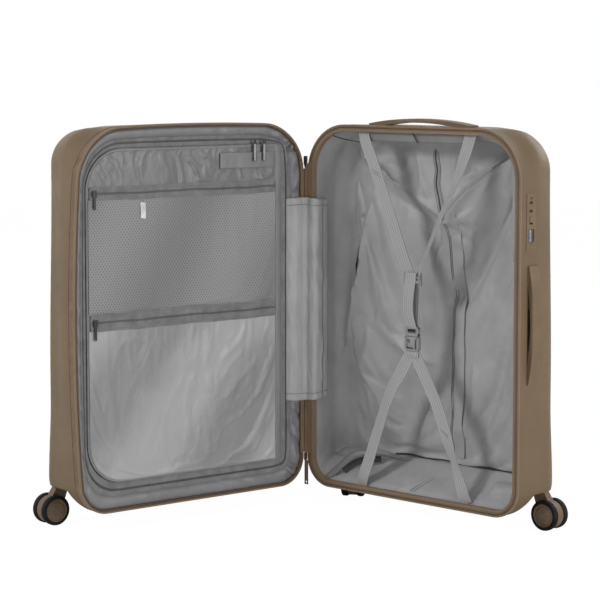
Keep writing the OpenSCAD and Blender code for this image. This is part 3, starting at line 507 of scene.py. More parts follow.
def ribbon(name, path, width, mat, body, half="back", across=(1, 0, 0), twist=0, curl=0, thick=1.3, **more):
    """Flat webbing along local points, as a closed thin band; twist in degrees along the path."""
    path = np.asarray(path, float)
    tangent = np.gradient(path, axis=0)
    tangent /= np.linalg.norm(tangent, axis=1)[:, None]
    a0 = np.broadcast_to(np.array(across, float), path.shape)
    a0 = a0 - tangent * (a0 * tangent).sum(1)[:, None]
    a0 /= np.linalg.norm(a0, axis=1)[:, None]
    t = np.radians(np.broadcast_to(twist, len(path)))[:, None]
    a1 = a0 * np.cos(t) + np.cross(tangent, a0) * np.sin(t)
    n1 = np.cross(tangent, a1)
    s = np.linspace(-0.5, 0.5, 8)
    loop = [(x, 0.5) for x in s] + [(x, -0.5) for x in s[::-1]]
    P = np.stack([path + a1 * x * width + n1 * (curl * (4 * x * x - 0.5) + k * thick) for x, k in loop], 1)
    return grid(name, P, mat, body, half, close_v=True, angle=50, **more)


def lengths(p):
    """The length along a path at each of its points."""
    return np.concatenate([[0], np.cumsum(np.linalg.norm(np.diff(p, axis=0), axis=1))])


def curve_points(points, n=40):
    """A smooth path through control points."""
    p = np.asarray(points, float)
    d = lengths(p)
    m = np.gradient(p, d, axis=0)
    t = np.linspace(0, d[-1], n)
    k = np.minimum(np.searchsorted(d, t, side="right") - 1, len(p) - 2)
    h = (d[k + 1] - d[k])[:, None]
    s = (t - d[k])[:, None] / h
    return ((2 * s**3 - 3 * s**2 + 1) * p[k] + (s**3 - 2 * s**2 + s) * h * m[k]
            + (-2 * s**3 + 3 * s**2) * p[k + 1] + (s**3 - s**2) * h * m[k + 1])


def waves(x, y, seed, size, n=5, lean=0, spread=180):
    """Smooth pseudo-random folds of about the given size, from -1 to 1."""
    rng = np.random.RandomState(seed)
    wx = sum(np.sin((x * math.cos(a) + y * math.sin(a)) * 2 * math.pi / (size * 2.7) + b)
             for a, b in rng.uniform(0, 6.28, (3, 2)))
    h = 0
    for _ in range(n):
        a = math.radians(lean + rng.uniform(-spread / 2, spread / 2))
        k = 2 * math.pi / (size * rng.uniform(0.6, 1.5))
        h = h + np.sin(k * (x * math.cos(a) + y * math.sin(a)) + rng.uniform(0, 6.28) + 0.9 * wx)
    return h / n ** 0.7


def ridges(x, y, seed, size, n=3, lean=0, spread=30, sharp=1.7):
    """Narrow raised folds with wide shallow valleys between them, from about -0.5 to 1."""
    rng = np.random.RandomState(seed)
    bend = 1.1 * waves(x, y, seed + 1, size * 2.2, n=3)
    h = 0
    for _ in range(n):
        a = math.radians(lean + rng.uniform(-spread / 2, spread / 2))
        k = math.pi / (size * rng.uniform(0.75, 1.4))
        v = 1 - np.abs(np.sin(k * (x * math.cos(a) + y * math.sin(a)) + rng.uniform(0, 6.28) + bend))
        h = h + v**sharp
    return h / n**0.8 - 0.35


def crease(u, z, points, amp, width, side_width):
    """A sharp fold along a polyline: one width on its right, the other on its left."""
    best = np.full(u.shape, 1e9)
    sign, along = np.zeros(u.shape), np.zeros(u.shape)
    total = sum(math.dist(a, b) for a, b in zip(points, points[1:]))
    run = 0
    for (ax, az), (bx, bz) in zip(points, points[1:]):
        dx, dz = bx - ax, bz - az
        length = math.hypot(dx, dz)
        t = np.clip(((u - ax) * dx + (z - az) * dz) / length**2, 0, 1)
        dist = np.hypot(u - (ax + t * dx), z - (az + t * dz))
        new = dist < best
        best = np.where(new, dist, best)
        sign = np.where(new, np.sign(dx * (z - az) - dz * (u - ax)), sign)
        along = np.where(new, (run + t * length) / total, along)
        run += length
    fade = np.sin(math.pi * np.clip(along * 0.86 + 0.07, 0, 1)) ** 0.6
    return amp * fade * np.where(sign > 0, np.exp(-best / side_width), np.exp(-best / width))


# how long cloth hangs, and how far it may slide along its frame in millimetres
HANG_FRAMES, SLIDE = 24, 6


def settle(P, held, grow, bend, near, far):
    """Lets a cloth grid in local points, a little larger than its frame, hang from its held edges. near and
    far cap how far it may move towards the closing plane and away from it."""
    P = np.asarray(P, float)
    n, m = P.shape[:2]
    V = np.stack([P[..., 0], P[..., 2], P[..., 1]], -1).reshape(-1, 3) / 1000
    me = bpy.data.meshes.new("hanging")
    me.from_pydata([tuple(v) for v in V], [], quads(n, m))
    me.update()
    ob = bpy.data.objects.new("hanging", me)
    bpy.context.scene.collection.objects.link(ob)
    group = ob.vertex_groups.new(name="held")
    for k, w in enumerate(np.asarray(held, float).ravel()):
        if w > 0:
            group.add([k], float(w), "REPLACE")
    mod = ob.modifiers.new("cloth", "CLOTH")
    cs = mod.settings
    cs.quality, cs.mass, cs.air_damping = 5, 0.2, 3
    cs.tension_stiffness = cs.compression_stiffness = 15
    cs.shear_stiffness, cs.bending_stiffness = 6, bend
    cs.vertex_group_mass, cs.shrink_min = "held", -grow
    cs.effector_weights.gravity = 0.12
    mod.collision_settings.use_collision = False
    mod.point_cache.frame_start, mod.point_cache.frame_end = 1, HANG_FRAMES
    for f in range(1, HANG_FRAMES + 1):
        bpy.context.scene.frame_set(f)
    mesh = ob.evaluated_get(bpy.context.evaluated_depsgraph_get()).to_mesh()
    Q = np.zeros(len(V) * 3)
    mesh.vertices.foreach_get("co", Q)
    Q = Q.reshape(n, m, 3) * 1000
    bpy.data.objects.remove(ob)
    bpy.data.meshes.remove(me)
    bpy.context.scene.frame_set(1)
    Q = np.stack([Q[..., 0], Q[..., 2], Q[..., 1]], -1)
    Q[..., :2] = P[..., :2] + np.clip(Q[..., :2] - P[..., :2], -SLIDE, SLIDE)
    Q[..., 2] = P[..., 2] + np.clip(Q[..., 2] - P[..., 2], -near, far)
    return Q


def rim_of(P, deep=1):
    """1 along the border of a grid, 0 inside."""
    k = np.ones(P.shape[:2])
    k[deep:-deep, deep:-deep] = 0
    return k


# ---- camera, floor and lights
scene = bpy.context.scene
camera = bpy.data.objects.new("camera", bpy.data.cameras.new("camera"))
scene.collection.objects.link(camera)
camera.location = ((HX + 2688) / 1000, (HY - 2968) / 1000, 0.857)
heading, pitch = math.atan2(0.739, -0.673), math.radians(-5.3)
view = Vector((math.cos(heading) * math.cos(pitch), math.sin(heading) * math.cos(pitch), math.sin(pitch)))
camera.rotation_euler = view.to_track_quat("-Z", "Y").to_euler()
camera.data.sensor_width = 36
camera.data.lens = 124.8
camera.data.shift_y = -0.08
camera.data.clip_end = 100
scene.camera = camera
scene.view_settings.view_transform = "Standard"

world = bpy.data.worlds.new("studio")
scene.world = world
world.use_nodes = True
wt = world.node_tree
background = wt.nodes["Background"]
background.inputs["Color"].default_value = (1, 1, 1, 1)
rays = add_node(wt, "ShaderNodeLightPath").outputs
seen = add_node(wt, "ShaderNodeMath", _operation="MAXIMUM")
either = add_node(wt, "ShaderNodeMath", _operation="MAXIMUM")
level = add_node(wt, "ShaderNodeMapRange", To_Min=0.28, To_Max=1.0)
for a, b in ((rays["Is Transmission Ray"], either.inputs[0]), (rays["Is Glossy Ray"], either.inputs[1]),
             (rays["Is Camera Ray"], seen.inputs[0]), (either.outputs[0], seen.inputs[1]),
             (seen.outputs[0], level.inputs["Value"]),
             (level.outputs["Result"], background.inputs["Strength"])):
    wt.links.new(a, b)

floor_mat = bpy.data.materials.new("floor_white")
floor_mat.use_nodes = True
ft = floor_mat.node_tree
plain = ft.nodes["Principled BSDF"]
plain.inputs["Base Color"].default_value = (0.9, 0.9, 0.9, 1)
plain.inputs["Roughness"].default_value = 0.9
plain.inputs["Specular IOR Level"].default_value = 0.1
glow = add_node(ft, "ShaderNodeEmission", Color=(1, 1, 1, 1), Strength=1.04)
mix = add_node(ft, "ShaderNodeMixShader")
share = add_node(ft, "ShaderNodeMath", _operation="MULTIPLY")
share.inputs[1].default_value = 0.94
for a, b in ((add_node(ft, "ShaderNodeLightPath").outputs["Is Camera Ray"], share.inputs[0]),
             (share.outputs[0], mix.inputs["Fac"]), (plain.outputs[0], mix.inputs[1]),
             (glow.outputs[0], mix.inputs[2]),
             (mix.outputs[0], ft.nodes["Material Output"].inputs["Surface"])):
    ft.links.new(a, b)
bm = bmesh.new()
bmesh.ops.create_circle(bm, cap_ends=True, segments=64, radius=9.0)
fme = bpy.data.meshes.new("floor")
bm.to_mesh(fme)
bm.free()
fme.materials.append(floor_mat)
floor = bpy.data.objects.new("floor", fme)
scene.collection.objects.link(floor)


def area(name, pos, aim, size, power):
    light = bpy.data.lights.new(name, "AREA")
    light.energy, light.size = power, size
    ob = bpy.data.objects.new(name, light)
    ob.location = pos
    ob.rotation_euler = (Vector(aim) - Vector(pos)).to_track_quat("-Z", "Y").to_euler()
    scene.collection.objects.link(ob)


area("key", (-1.0, -2.9, 1.9), (0, 0.1, 0.4), 0.7, 48)
area("side", (2.9, 0.1, 0.8), (-0.2, 0.0, 0.4), 0.8, 35)
area("front", (1.6, -3.0, 1.2), (0, 0.1, 0.4), 1.2, 8)
area("top", (0.2, 0.0, 3.2), (0, 0, 0.4), 1.2, 14)
area("rear", (0.5, 3.2, 1.8), (0, 0, 0.4), 2.0, 24)


def restyle(mat, *names):
    """A new material on CAD nodes that keep their shape."""
    for n in names:
        o = NODE[n]
        if not o.material_slots:
            o.data.materials.append(mat)
        for s in o.material_slots:
            s.material = mat


restyle(SHELL, "back_wheel_housings", "front_wheel_housings")
restyle(RIM, "back_rim")
restyle(HANDLE, "top_handle", "side_handle", "main_pull_bottom")
restyle(DARK_METAL, "main_pull_top", "upper_pocket_pull", "lower_pocket_pull", "liner_zip_pull")
restyle(FORK, *[n for n in NODE if n.startswith("fork_")])
restyle(STEEL, *[n for n in NODE if n.startswith("axle_")])
restyle(ALU, "trolley_outer_tubes", "trolley_mid_tubes")
restyle(BLACK, "trolley_cup", "trolley_grip", "trolley_button", "handle_plates")
restyle(LOCK, "lock_housing", "lock_button")
restyle(CHROME, "key_cylinder", "dial_1", "dial_2", "dial_3")
restyle(BAND, "hinge_tape")
restyle(COIL, "back_zip", "front_zip")
restyle(DARK_METAL, "divider_pull_a", "divider_pull_b")


def bent_copy(name, node, mat, body, half="front", step=22.0):
    """A CAD shell or rim cut into short stretches and bent with its half."""
    bm = bmesh.new()
    bm.from_mesh(NODE[node].data)
    bmesh.ops.remove_doubles(bm, verts=bm.verts, dist=1e-5)
    front = half == "front"
    c, s = (math.cos(OPEN), -math.sin(OPEN)) if front else (1, 0)
    at = MAPS[half]
    cuts = [((0, 0, z / 1000), (0, 0, 1)) for z in np.arange(FLOOR_GAP + step, TOP, step)]
    cuts += [(at([u, 0, 0]), (c, s, 0)) for u in np.arange(step, W, step * 1.5)]
    cuts += [(at([0, 0, d]), at([0, 0, 1000]) - at([0, 0, 0])) for d in (16, 24, 32, 40, 48, 56, 64, 84)]
    for point, normal in cuts:
        geom = bm.verts[:] + bm.edges[:] + bm.faces[:]
        bmesh.ops.bisect_plane(bm, geom=geom, plane_co=point, plane_no=normal, dist=6e-4)
    V = np.array([v.co for v in bm.verts])
    depth = FRONT_DEPTH if front else BACK_DEPTH
    V = front_unmap(V) if front else back_unmap(V)
    if mat == SHELL:
        V = calm_ribs(V, depth)
    V = front_map(bow(V)) if front else back_map(waist(V, depth))
    F = [[v.index for v in f.verts] for f in bm.faces]
    bm.free()
    ob = put(name, V, F, mat, body, replaced=[node], angle=32)
    even = ob.modifiers.new("even_normals", "WEIGHTED_NORMAL")
    even.mode, even.keep_sharp = "FACE_AREA", True
    return ob


bent_copy("front_shell_skin", "front_shell", SHELL, "front_half")
bent_copy("back_shell_skin", "back_shell", SHELL, "back_half", "back")
bent_copy("front_rim_skin", "front_rim", RIM, "front_half")
bent_copy("front_zip_coil", "front_zip", COIL, "front_half")
bent_copy("expander_skin", "expander_band", BAND, "front_half")

# ---- wheels
def lathe(name, profile, centre, axis, mat, body, n=72, **more):
    """A turned form: (radius, distance along it) pairs in millimetres round an axis in the row frame."""
    a = Vector(axis).normalized()
    x = a.orthogonal().normalized()
    y = a.cross(x)
    c = Vector(centre)
    ring = [x * math.cos(2 * math.pi * i / n) + y * math.sin(2 * math.pi * i / n) for i in range(n)]
    V = np.array([[tuple(c + ring[i] * (r / 1000) + a * (h / 1000)) for r, h in profile] for i in range(n)])
    return grid(name, V * 1000, mat, body, None, close_u=True, **more)

WHEEL_W = 13.0
TYRE_PROFILE = [(21.2, 1.2), (21.2, 0.3), (24.5, 0.0), (26.4, 0.7), (27.6, 2.2), (28.0, 4.2), (28.0, 8.8),
                (27.6, 10.8), (26.4, 12.3), (24.5, 13.0), (22.0, 12.8), (21.6, 12.4), (21.2, 11.8)]
HUB_PROFILE = [(3.1, 0.6), (21.4, 0.6), (21.4, 12.0), (20.8, 12.5), (19.6, 12.7), (18.9, 12.2), (18.6, 11.4),
               (18.0, 11.1), (17.2, 11.3), (15.5, 12.4), (12.0, 13.0), (8.6, 13.3), (8.2, 12.9), (7.7, 12.9),
               (7.3, 13.4), (4.0, 13.6), (0.01, 13.65)]
for base in ("back_free", "back_hinge", "front_free", "front_hinge"):
    ends = {w: Vector(JOINT[f"roll_{base}_{w}"]["pos_m"]) for w in "ab"}
    middle = (ends["a"] + ends["b"]) / 2
    for w, pos in ends.items():
        out = (pos - middle).normalized()
        foot = pos - out * (WHEEL_W / 2000)
        body = f"wheel_{base}_{w}"
        lathe(f"tyre_{base}_{w}", TYRE_PROFILE, foot, out, TYRE, body, replaced=[body], slot="wheel")
        lathe(f"hub_{base}_{w}", HUB_PROFILE, foot, out, HUB, body, slot="wheel")

# ---- front half: gusset, zips and divider
# the divider's edges, its corner radii on the free and the hinge side, and the heights of its zips
DIV_U0, DIV_U1 = 51.5, W - 17.0
DIV_Z0, DIV_Z1 = FLOOR_GAP + 54.0, TOP - 38.0
DIV_R, DIV_Q = 74.0, 12.0
ZIP_HIGH, ZIP_LOW = FLOOR_GAP + 583.0, FLOOR_GAP + 350.0


def divider_outline(inset=0.0):
    """Points and outward normals round the divider."""
    u0, z0, u1, z1 = DIV_U0 + inset, DIV_Z0 + inset, DIV_U1 - inset, DIV_Z1 - inset
    R, q = DIV_R - inset, max(DIV_Q - inset, 1.0)
    corners = [(u1 - R, z0 + R, R, -90), (u1 - R, z1 - R, R, 0),
               (u0 + q, z1 - q, q, 90), (u0 + q, z0 + q, q, 180)]
    return walk(corners, 16, lambda length: int(length / 8))


def matched(pts, rim):
    """For each point of one outline, the point of another round it in the same direction."""
    ang = []
    for k in (pts, rim):
        lo, hi = k.min(0), k.max(0)
        v = (k - (lo + hi) / 2) / (hi - lo)
        ang.append(np.arctan2(v[:, 1], v[:, 0]))
    order = np.argsort(ang[1])
    near = [np.interp(ang[0], ang[1][order], rim[order, i], period=2 * math.pi) for i in (0, 1)]
    return np.stack(near, 1)


edge_pts, edge_nor = divider_outline(-1.0)
rim_line, _ = outline(CASE, inset=5.2, arc_n=40, step=2.0)
rim_pts = matched(edge_pts, bow(np.pad(rim_line, ((0, 0), (0, 1))))[:, :2])
to_rim = rim_pts - edge_pts
run = lengths(edge_pts)


def gusset(name, stops, mat, ripple=0.0, slot="zip_tape", **more):
    """A strip between the divider's edge (0) and the rim (1), from (share, depth) stops."""
    P = sweep(edge_pts, to_rim, stops)
    if ripple:
        rng = np.random.RandomState(3)
        k = np.linspace(0, 1, len(stops))[None, :]
        sizes = zip(rng.uniform(14, 60, 9), rng.uniform(0, 6.28, 9), rng.uniform(0.3, 1, 9))
        w = sum(np.sin(run[:, None] * 2 * math.pi / s + ph + 3 * k) * a for s, ph, a in sizes) / 3
        w = ripple * np.sin(math.pi * k) * w * (1 + 2.6 * smooth(90, 30, P[:, :1, 0]))
        P[:, :, 2] += w
        P[:, :, 0] += 0.5 * w * np.sign(P[:, :, 0] - W / 2)
    return grid(name, P, mat, "front_half", "front", close_u=True, slot=slot, **more)


gusset("divider_zip_tape", [(0.0, 12.0), (0.03, 8.6), (0.1, 8.0), (0.22, 8.2), (0.25, 9.0)], TAPE)
gusset("divider_zip_tape_outer", [(0.33, 9.2), (0.36, 8.4), (0.5, 8.4), (0.54, 10.0)], TAPE)
stops = [(0.48, 12), (0.52, 9), (0.58, 6.4), (0.68, 4.9), (0.8, 4.4), (0.9, 4.8), (0.97, 6.4), (1, 9),
         (1, 20)]
gusset("gusset_cloth", stops, LINING_SMOOTH, ripple=2.0, replaced=["front_liner"], slot="lining")
# the floor of the groove under the zip
gusset("gusset_groove", [(0.0, 13.0), (0.6, 12.6), (1.02, 12.0)], COIL_GREY)

# the lining behind the divider: walls, a rounded turn and the flat back
shell_pts, _ = outline(CASE, inset=8.0, arc_n=16, step=9.0)
stops = [(0, 17), (0, 30), (0.002, 60), (0.004, 95), (0.01, 118), (0.035, 133), (0.09, 141)]
stops += [(share, 142) for share in (0.2, 0.4, 0.62, 0.84, 0.999)]
P = sweep(shell_pts, np.array([W / 2, FLOOR_GAP + H / 2]) - shell_pts, stops)
u, z, d = P[..., 0].copy(), P[..., 1].copy(), P[..., 2].copy()
P[..., 2] = np.where(d > 120, d - 5 * np.abs(waves(u, z, 91, 120, lean=20, spread=120)), d)
wall = smooth(20, 50, d) * smooth(142, 110, d)
P[..., 0] = u - 2.5 * np.abs(waves(z, d, 92, 90)) * np.sign(u - W / 2) * wall
P = bow(P)
P[..., 0] = np.clip(P[..., 0], 6.0, None)
# it rises over the caster housings
over = (1 - smooth(84, 108, u) * (1 - smooth(W - 108, W - 84, u))) * smooth(30, 62, d)
P[..., 1] = np.maximum(P[..., 1], FLOOR_GAP + 12 + 44 * over)
grid("front_lining", P, LINING, "front_half", "front", close_u=True, slot="lining", angle=70)


def teeth(name, pts, nor, d, body, pitch, size, closed=True):
    """The front half's zip teeth along a line, alternating to either side of it."""
    if closed:
        pts, nor = np.concatenate([pts, pts[:1]]), np.concatenate([nor, nor[:1]])
    s = lengths(pts)
    at = np.arange(pitch / 2, s[-1], pitch)
    x, y, nx, ny = (np.interp(at, s, k) for k in (*pts.T, *nor.T))
    ln = np.hypot(nx, ny)
    nx, ny = nx / ln, ny / ln
    a, b, h = (k / 2 for k in size)
    foot = [(-a, -b, 0), (a, -b, 0), (a, b, 0), (-a, b, 0)]
    shape = foot + [(p * 0.7, q * 0.8, -2 * h) for p, q, _ in foot]
    sides = [(4, 5, 6, 7), (0, 1, 5, 4), (1, 2, 6, 5), (2, 3, 7, 6), (3, 0, 4, 7)]
    V, F = [], []
    for i in range(len(at)):
        k = 0.5 if i % 2 else -0.5
        F += [tuple(len(V) + j for j in f) for f in sides]
        V += [(x[i] - ny[i] * p + nx[i] * (q + k), y[i] + nx[i] * p + ny[i] * (q + k), d + r)
              for p, q, r in shape]
    return put(name, front_map(np.array(V)), F, COIL_GREY, body, flat=True, slot="zip_tape")


teeth("divider_zip_coil", edge_pts + to_rim * 0.285, edge_nor, 9.6, "front_half", 2.8, (1.7, 3.4, 1.4))


def corner_cut(z, z0, z1, low_r, top_r):
    """How far the round corners of a panel draw its side in, at heights z."""
    low = low_r - np.sqrt(np.maximum(low_r**2 - (z0 + low_r - z) ** 2, 0))
    top = top_r - np.sqrt(np.maximum(top_r**2 - (z - (z1 - top_r)) ** 2, 0))
    return np.where(z > z1 - top_r, top, np.where(z < z0 + low_r, low, 0))


def rows_between(a, b, z, cols):
    """A flat grid of local points, from a to b at each height z."""
    P = np.zeros((len(z), cols, 3))
    P[..., 0] = a[:, None] + (b - a)[:, None] * np.linspace(0, 1, cols)
    P[..., 1] = z[:, None]
    return P


def face(z0, z1, rows, cols, inset, left=0.0, right=1000.0):
    """Local points of part of the divider's face, between two heights."""
    z = np.linspace(z0, z1, rows)
    lo, hi, q, R = DIV_Z0 + inset, DIV_Z1 - inset, DIV_Q - inset, DIV_R - inset
    a = np.maximum(DIV_U0 + inset + corner_cut(z, lo, hi, q, q), left)
    b = np.minimum(DIV_U1 - inset - corner_cut(z, lo, hi, R, R), right)
    return rows_between(a, b, z, cols)


def pin(P, edge):
    """0 at the edges of a grid, 1 inside."""
    n, m = P.shape[:2]
    i, j = np.arange(n)[:, None] / (n - 1), np.arange(m)[None, :] / (m - 1)
    k = smooth(0, edge, i) * smooth(0, edge, 1 - i)
    return k * smooth(0, edge, j) * smooth(0, edge, 1 - j)


def on_divider(name, P, mat, slot="lining", **more):
    return grid(name, P, mat, "divider", "front", slot=slot, **more)


# the left edge of the pockets, where they are sewn on
SEW = DIV_U0 + 15
# the padded panel itself, with its rolled edge
P = face(DIV_Z0, DIV_Z1, 90, 70, 0.0)
P[..., 2] = 6.6 - 0.6 * pin(P, 0.12)
on_divider("divider_cloth", P, PANEL, replaced=["divider_panel"])
P = face(DIV_Z0 + 1, DIV_Z1 - 1, 40, 30, 1.0)
P[..., 2] = 12.2
on_divider("divider_back_cloth", P, PANEL)
pts, nor = divider_outline()
ROLL = [(-3.0, 6.2), (-1.5, 5.6), (-0.3, 5.7), (0.5, 6.6), (0.6, 7.6), (0.2, 9.0), (0.0, 10.5), (-0.6, 11.8),
        (-2.5, 12.3)]
on_divider("divider_edge", sweep(pts, nor, ROLL), PANEL, close_u=True)
piping = sweep(pts, nor, [(0.4, 6.2)])[:, 0]
tube("divider_piping", piping, 1.25, TAPE, "divider", "front", n=8, closed=True, slot="webbing")


def zone(name, mat, slack, z0, z1, rows, cols, edge, **hang):
    """Slack cloth sewn on the divider: slack gives the depth from pin's share and the points."""
    P = face(z0, z1, rows, cols, 3.0, left=SEW)
    P[..., 2] = slack(pin(P, edge), P[..., 0], P[..., 1])
    P = settle(P, rim_of(P), far=2.0, **hang)
    P[..., 2] = np.clip(P[..., 2], 0.4, 5.6)
    on_divider(name, P, mat)
    return P


def top_slack(k, u, z):
    wide = 5.0 * ridges(u, z, 4, 64, lean=-42, spread=22, sharp=2.6)
    return 5.2 - k * (wide + 2.4 * ridges(u, z, 15, 34, lean=-46, spread=34, sharp=2.2))


def net_slack(k, u, z):
    wide = 2.2 * waves(u, z, 21, 120, lean=10, spread=30)
    return 4.6 - 1.0 * k - k * (wide + 1.2 * ridges(u, z, 6, 70, lean=8, spread=40))


def pocket_slack(k, u, z):
    """Long diagonal folds, closer together near the hinge."""
    near_hinge = smooth(360, 170, u + 0.45 * (z - 240))
    drop = 5.0 * near_hinge * ridges(u, z, 33, 54, lean=49, spread=8, sharp=2.4)
    drop = drop + 5.0 * ridges(u, z, 48, 150, lean=46, spread=14, sharp=2.0) * (1 - 0.5 * near_hinge)
    drop = drop + 1.0 * ridges(u, z, 8, 32, lean=48, spread=22) * near_hinge
    return 4.8 - k * drop


zone("top_zone_cloth", ZONE, top_slack, ZIP_HIGH + 10, DIV_Z1 - 3.5, 34, 130, 0.08,
     grow=0.008, near=1.5, bend=1.0)
P = face(ZIP_HIGH + 36, ZIP_HIGH + 66, 10, 40, 3.0, left=SEW + 2, right=196)
P[..., 2] = 3.0 + 0.5 * waves(P[..., 0], P[..., 1], 51, 50)
on_divider("top_zone_patch", P, LINING_SMOOTH, solid=0.0004)
# the mesh pocket between the zips, and the cloth pocket below them
net_shape = zone("net_pocket_face", NET, net_slack, ZIP_LOW + 14, ZIP_HIGH - 10, 84, 110, 0.07,
                 grow=0.004, near=2.0, bend=2.0)
zone("lower_pocket_face", POCKET, pocket_slack, DIV_Z0 + 3, ZIP_LOW - 14, 96, 136, 0.06,
     grow=0.004, near=1.5, bend=2.0)
# the sewn strip at the hinge side
P = face(DIV_Z0 + 2, DIV_Z1 - 2, 80, 8, 1.5, right=SEW + 1)
P[..., 2] = 5.0 - 0.7 * np.sin(np.linspace(0, math.pi, 8)) + 0.25 * waves(P[..., 0], P[..., 1], 77, 40)
on_divider("sewn_strip", P, LINING_SMOOTH)
for du, name in ((1.5, "inner"), (13.5, "outer")):
    line = np.linspace((DIV_U0 + du, DIV_Z0 + 10, 4.3), (DIV_U0 + du, DIV_Z1 - 10, 4.3), 200)
    tube(f"strip_piping_{name}", line, 0.8, PANEL, "divider", "front", slot="lining")


def pocket_zip(name, z, width, **more):
    """A tape between folded cloth edges, the coil along it and a seam on either side."""
    u = np.linspace(SEW, DIV_U1 - 5.5, 90)
    middle = z + 0.6 * np.sin(u / 34.0) + 0.4 * np.sin(u / 13.0 + 1)

    def row(h, d):
        return np.stack([u, middle + h * width, np.full(90, d)], 1)

    low = [(-0.5, 5.4), (-0.5, 4.1), (-0.42, 3.6), (-0.3, 3.5), (-0.2, 3.9), (-0.17, 4.3)]
    tape = [row(h, d) for h, d in low] + [row(-h, d) for h, d in low[::-1]]
    on_divider(name + "_tape", np.stack(tape), TAPE, "zip_tape", **more)
    up = np.tile([0.0, 1.0], (90, 1))
    teeth(name + "_coil", np.stack([u, middle], 1), up, 4.3, "divider", 2.4, (1.4, 3.6, 1.3), closed=False)
    for h, side in ((-0.36, "low"), (0.36, "high")):
        tube(f"{name}_stitch_{side}", row(h, 3.35), 0.55, LINING_SMOOTH, "divider", "front", slot="lining")


pocket_zip("upper_zip", ZIP_HIGH, 25.0, replaced=["pocket_zips"])
pocket_zip("lower_zip", ZIP_LOW, 33.0)

# blank care label
lo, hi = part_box("care_label")
c = front_unmap([(lo.x + hi.x) / 2, (lo.y + hi.y) / 2, (lo.z + hi.z) / 2])
s = np.linspace(-0.5, 0.5, 10)
P = np.zeros((24, 10, 3))
v = np.linspace(0, 1, 24)
P[..., 0] = c[0] + 11 * s[None, :]
P[..., 1] = c[1] + 8.5 - 29 * v[:, None] + 1.2 * s[None, :]
under = net_shape[(abs(net_shape[..., 0] - c[0]) < 14) & (abs(net_shape[..., 1] - c[1]) < 30)]
top_d = under[:, 2].min() if len(under) else 2.0
P[..., 2] = top_d - 0.7 - 1.0 * np.sin(v * 2.6)[:, None] + 0.3 * np.sin(s * 5)[None, :]
on_divider("care_label_cloth", P, LABEL, "label", replaced=["care_label"], solid=0.0003)

# ---- lining of the back half
LIN_U0, LIN_U1 = 7.5, W - 30.5
LIN_Z0, LIN_Z1 = FLOOR_GAP + 13.0, TOP - 23.0
TUB = [LIN_U0, LIN_Z0, LIN_U1 - LIN_U0, LIN_Z1 - LIN_Z0, 75.0, 46.0]
# depth of the lining's flat back, and how far its folds reach towards the viewer and away
DEEP, FOLD_NEAR, FOLD_FAR = 105.0, 44, 9
# sharp folds of the hanging lining: rise (below 0 towards the viewer), fall on either side, points
CREASES = (
    # two drag folds that meet under the zip
    (-36, 8, 44, (440, 680), (380, 655), (330, 622), (296, 585), (265, 527)),
    (22, 20, 20, (436, 706), (376, 688), (326, 660), (292, 626)),
    (-30, 8, 40, (74, 676), (150, 626), (215, 590), (271, 560)),
    (12, 12, 12, (150, 604), (215, 568), (262, 540)),
    (-18, 8, 30, (60, 640), (110, 690), (160, 716)),
    # the dark valley at the right and the bright folds beside the placket
    (26, 26, 30, (446, 640), (400, 560), (352, 478), (330, 420)),
    (-14, 12, 30, (338, 560), (336, 480), (330, 400)),
    (-14, 10, 26, (332, 300), (338, 220), (330, 150)),
    (-24, 10, 40, (94, 600), (66, 500), (50, 400), (30, 320)),
    (-20, 10, 40, (96, 350), (70, 255), (86, 160)),
    (-12, 10, 32, (240, 230), (222, 172), (206, 130)),
    (-9, 8, 20, (150, 330), (180, 300), (236, 284)),
    (-12, 10, 32, (196, 700), (216, 650), (214, 600)),
    (-12, 12, 40, (430, 420), (440, 330), (436, 240)),
)


def liner_shape(P):
    """Soft folds and sharp creases of the hanging lining."""
    P = np.array(P, float)
    u, z, d = P[..., 0], P[..., 1], P[..., 2]
    back = smooth(45, 96, d)
    wall = smooth(16, 40, d) * (1 - back)
    high = smooth(FLOOR_GAP + 60, TOP - 90, z)
    h = 5.0 * waves(u, z, 11, 230, lean=12, spread=40) * (0.6 + 0.4 * high) - 10
    h = h - 2.6 * ridges(u, z, 44, 110, lean=18, spread=60) * high
    for amp, width, side_width, *points in CREASES:
        h = h + crease(u, z, points, amp, width, side_width)
    # a soft limit away from the viewer, and the place beside the placket where the cloth is pressed in
    h = 3 - np.maximum(np.logaddexp(0, (3 - h) / 3) * 3, 0)
    h = h + 20 * np.exp(-(((u - 294) / 17) ** 2 + ((z - 418) / 26) ** 2))
    P[..., 2] = d + np.clip(back * h, -FOLD_NEAR, FOLD_FAR)
    # the side walls fall in a little
    n = 3.0 * waves(z, d, 61, 120, lean=0, spread=50) + 1.5 * waves(z, d, 62, 45, lean=10, spread=90)
    P[..., 0] = P[..., 0] + wall * np.where(u < W / 2, 1, -1) * np.abs(n) * (np.abs(u - W / 2) > 190)
    n = np.abs(1.6 * waves(u, d, 63, 80, lean=80, spread=60)) * (np.abs(z - FLOOR_GAP - H / 2) > 250)
    P[..., 1] = P[..., 1] + wall * np.where(z < FLOOR_GAP + H / 2, 1, -1) * n
    return P


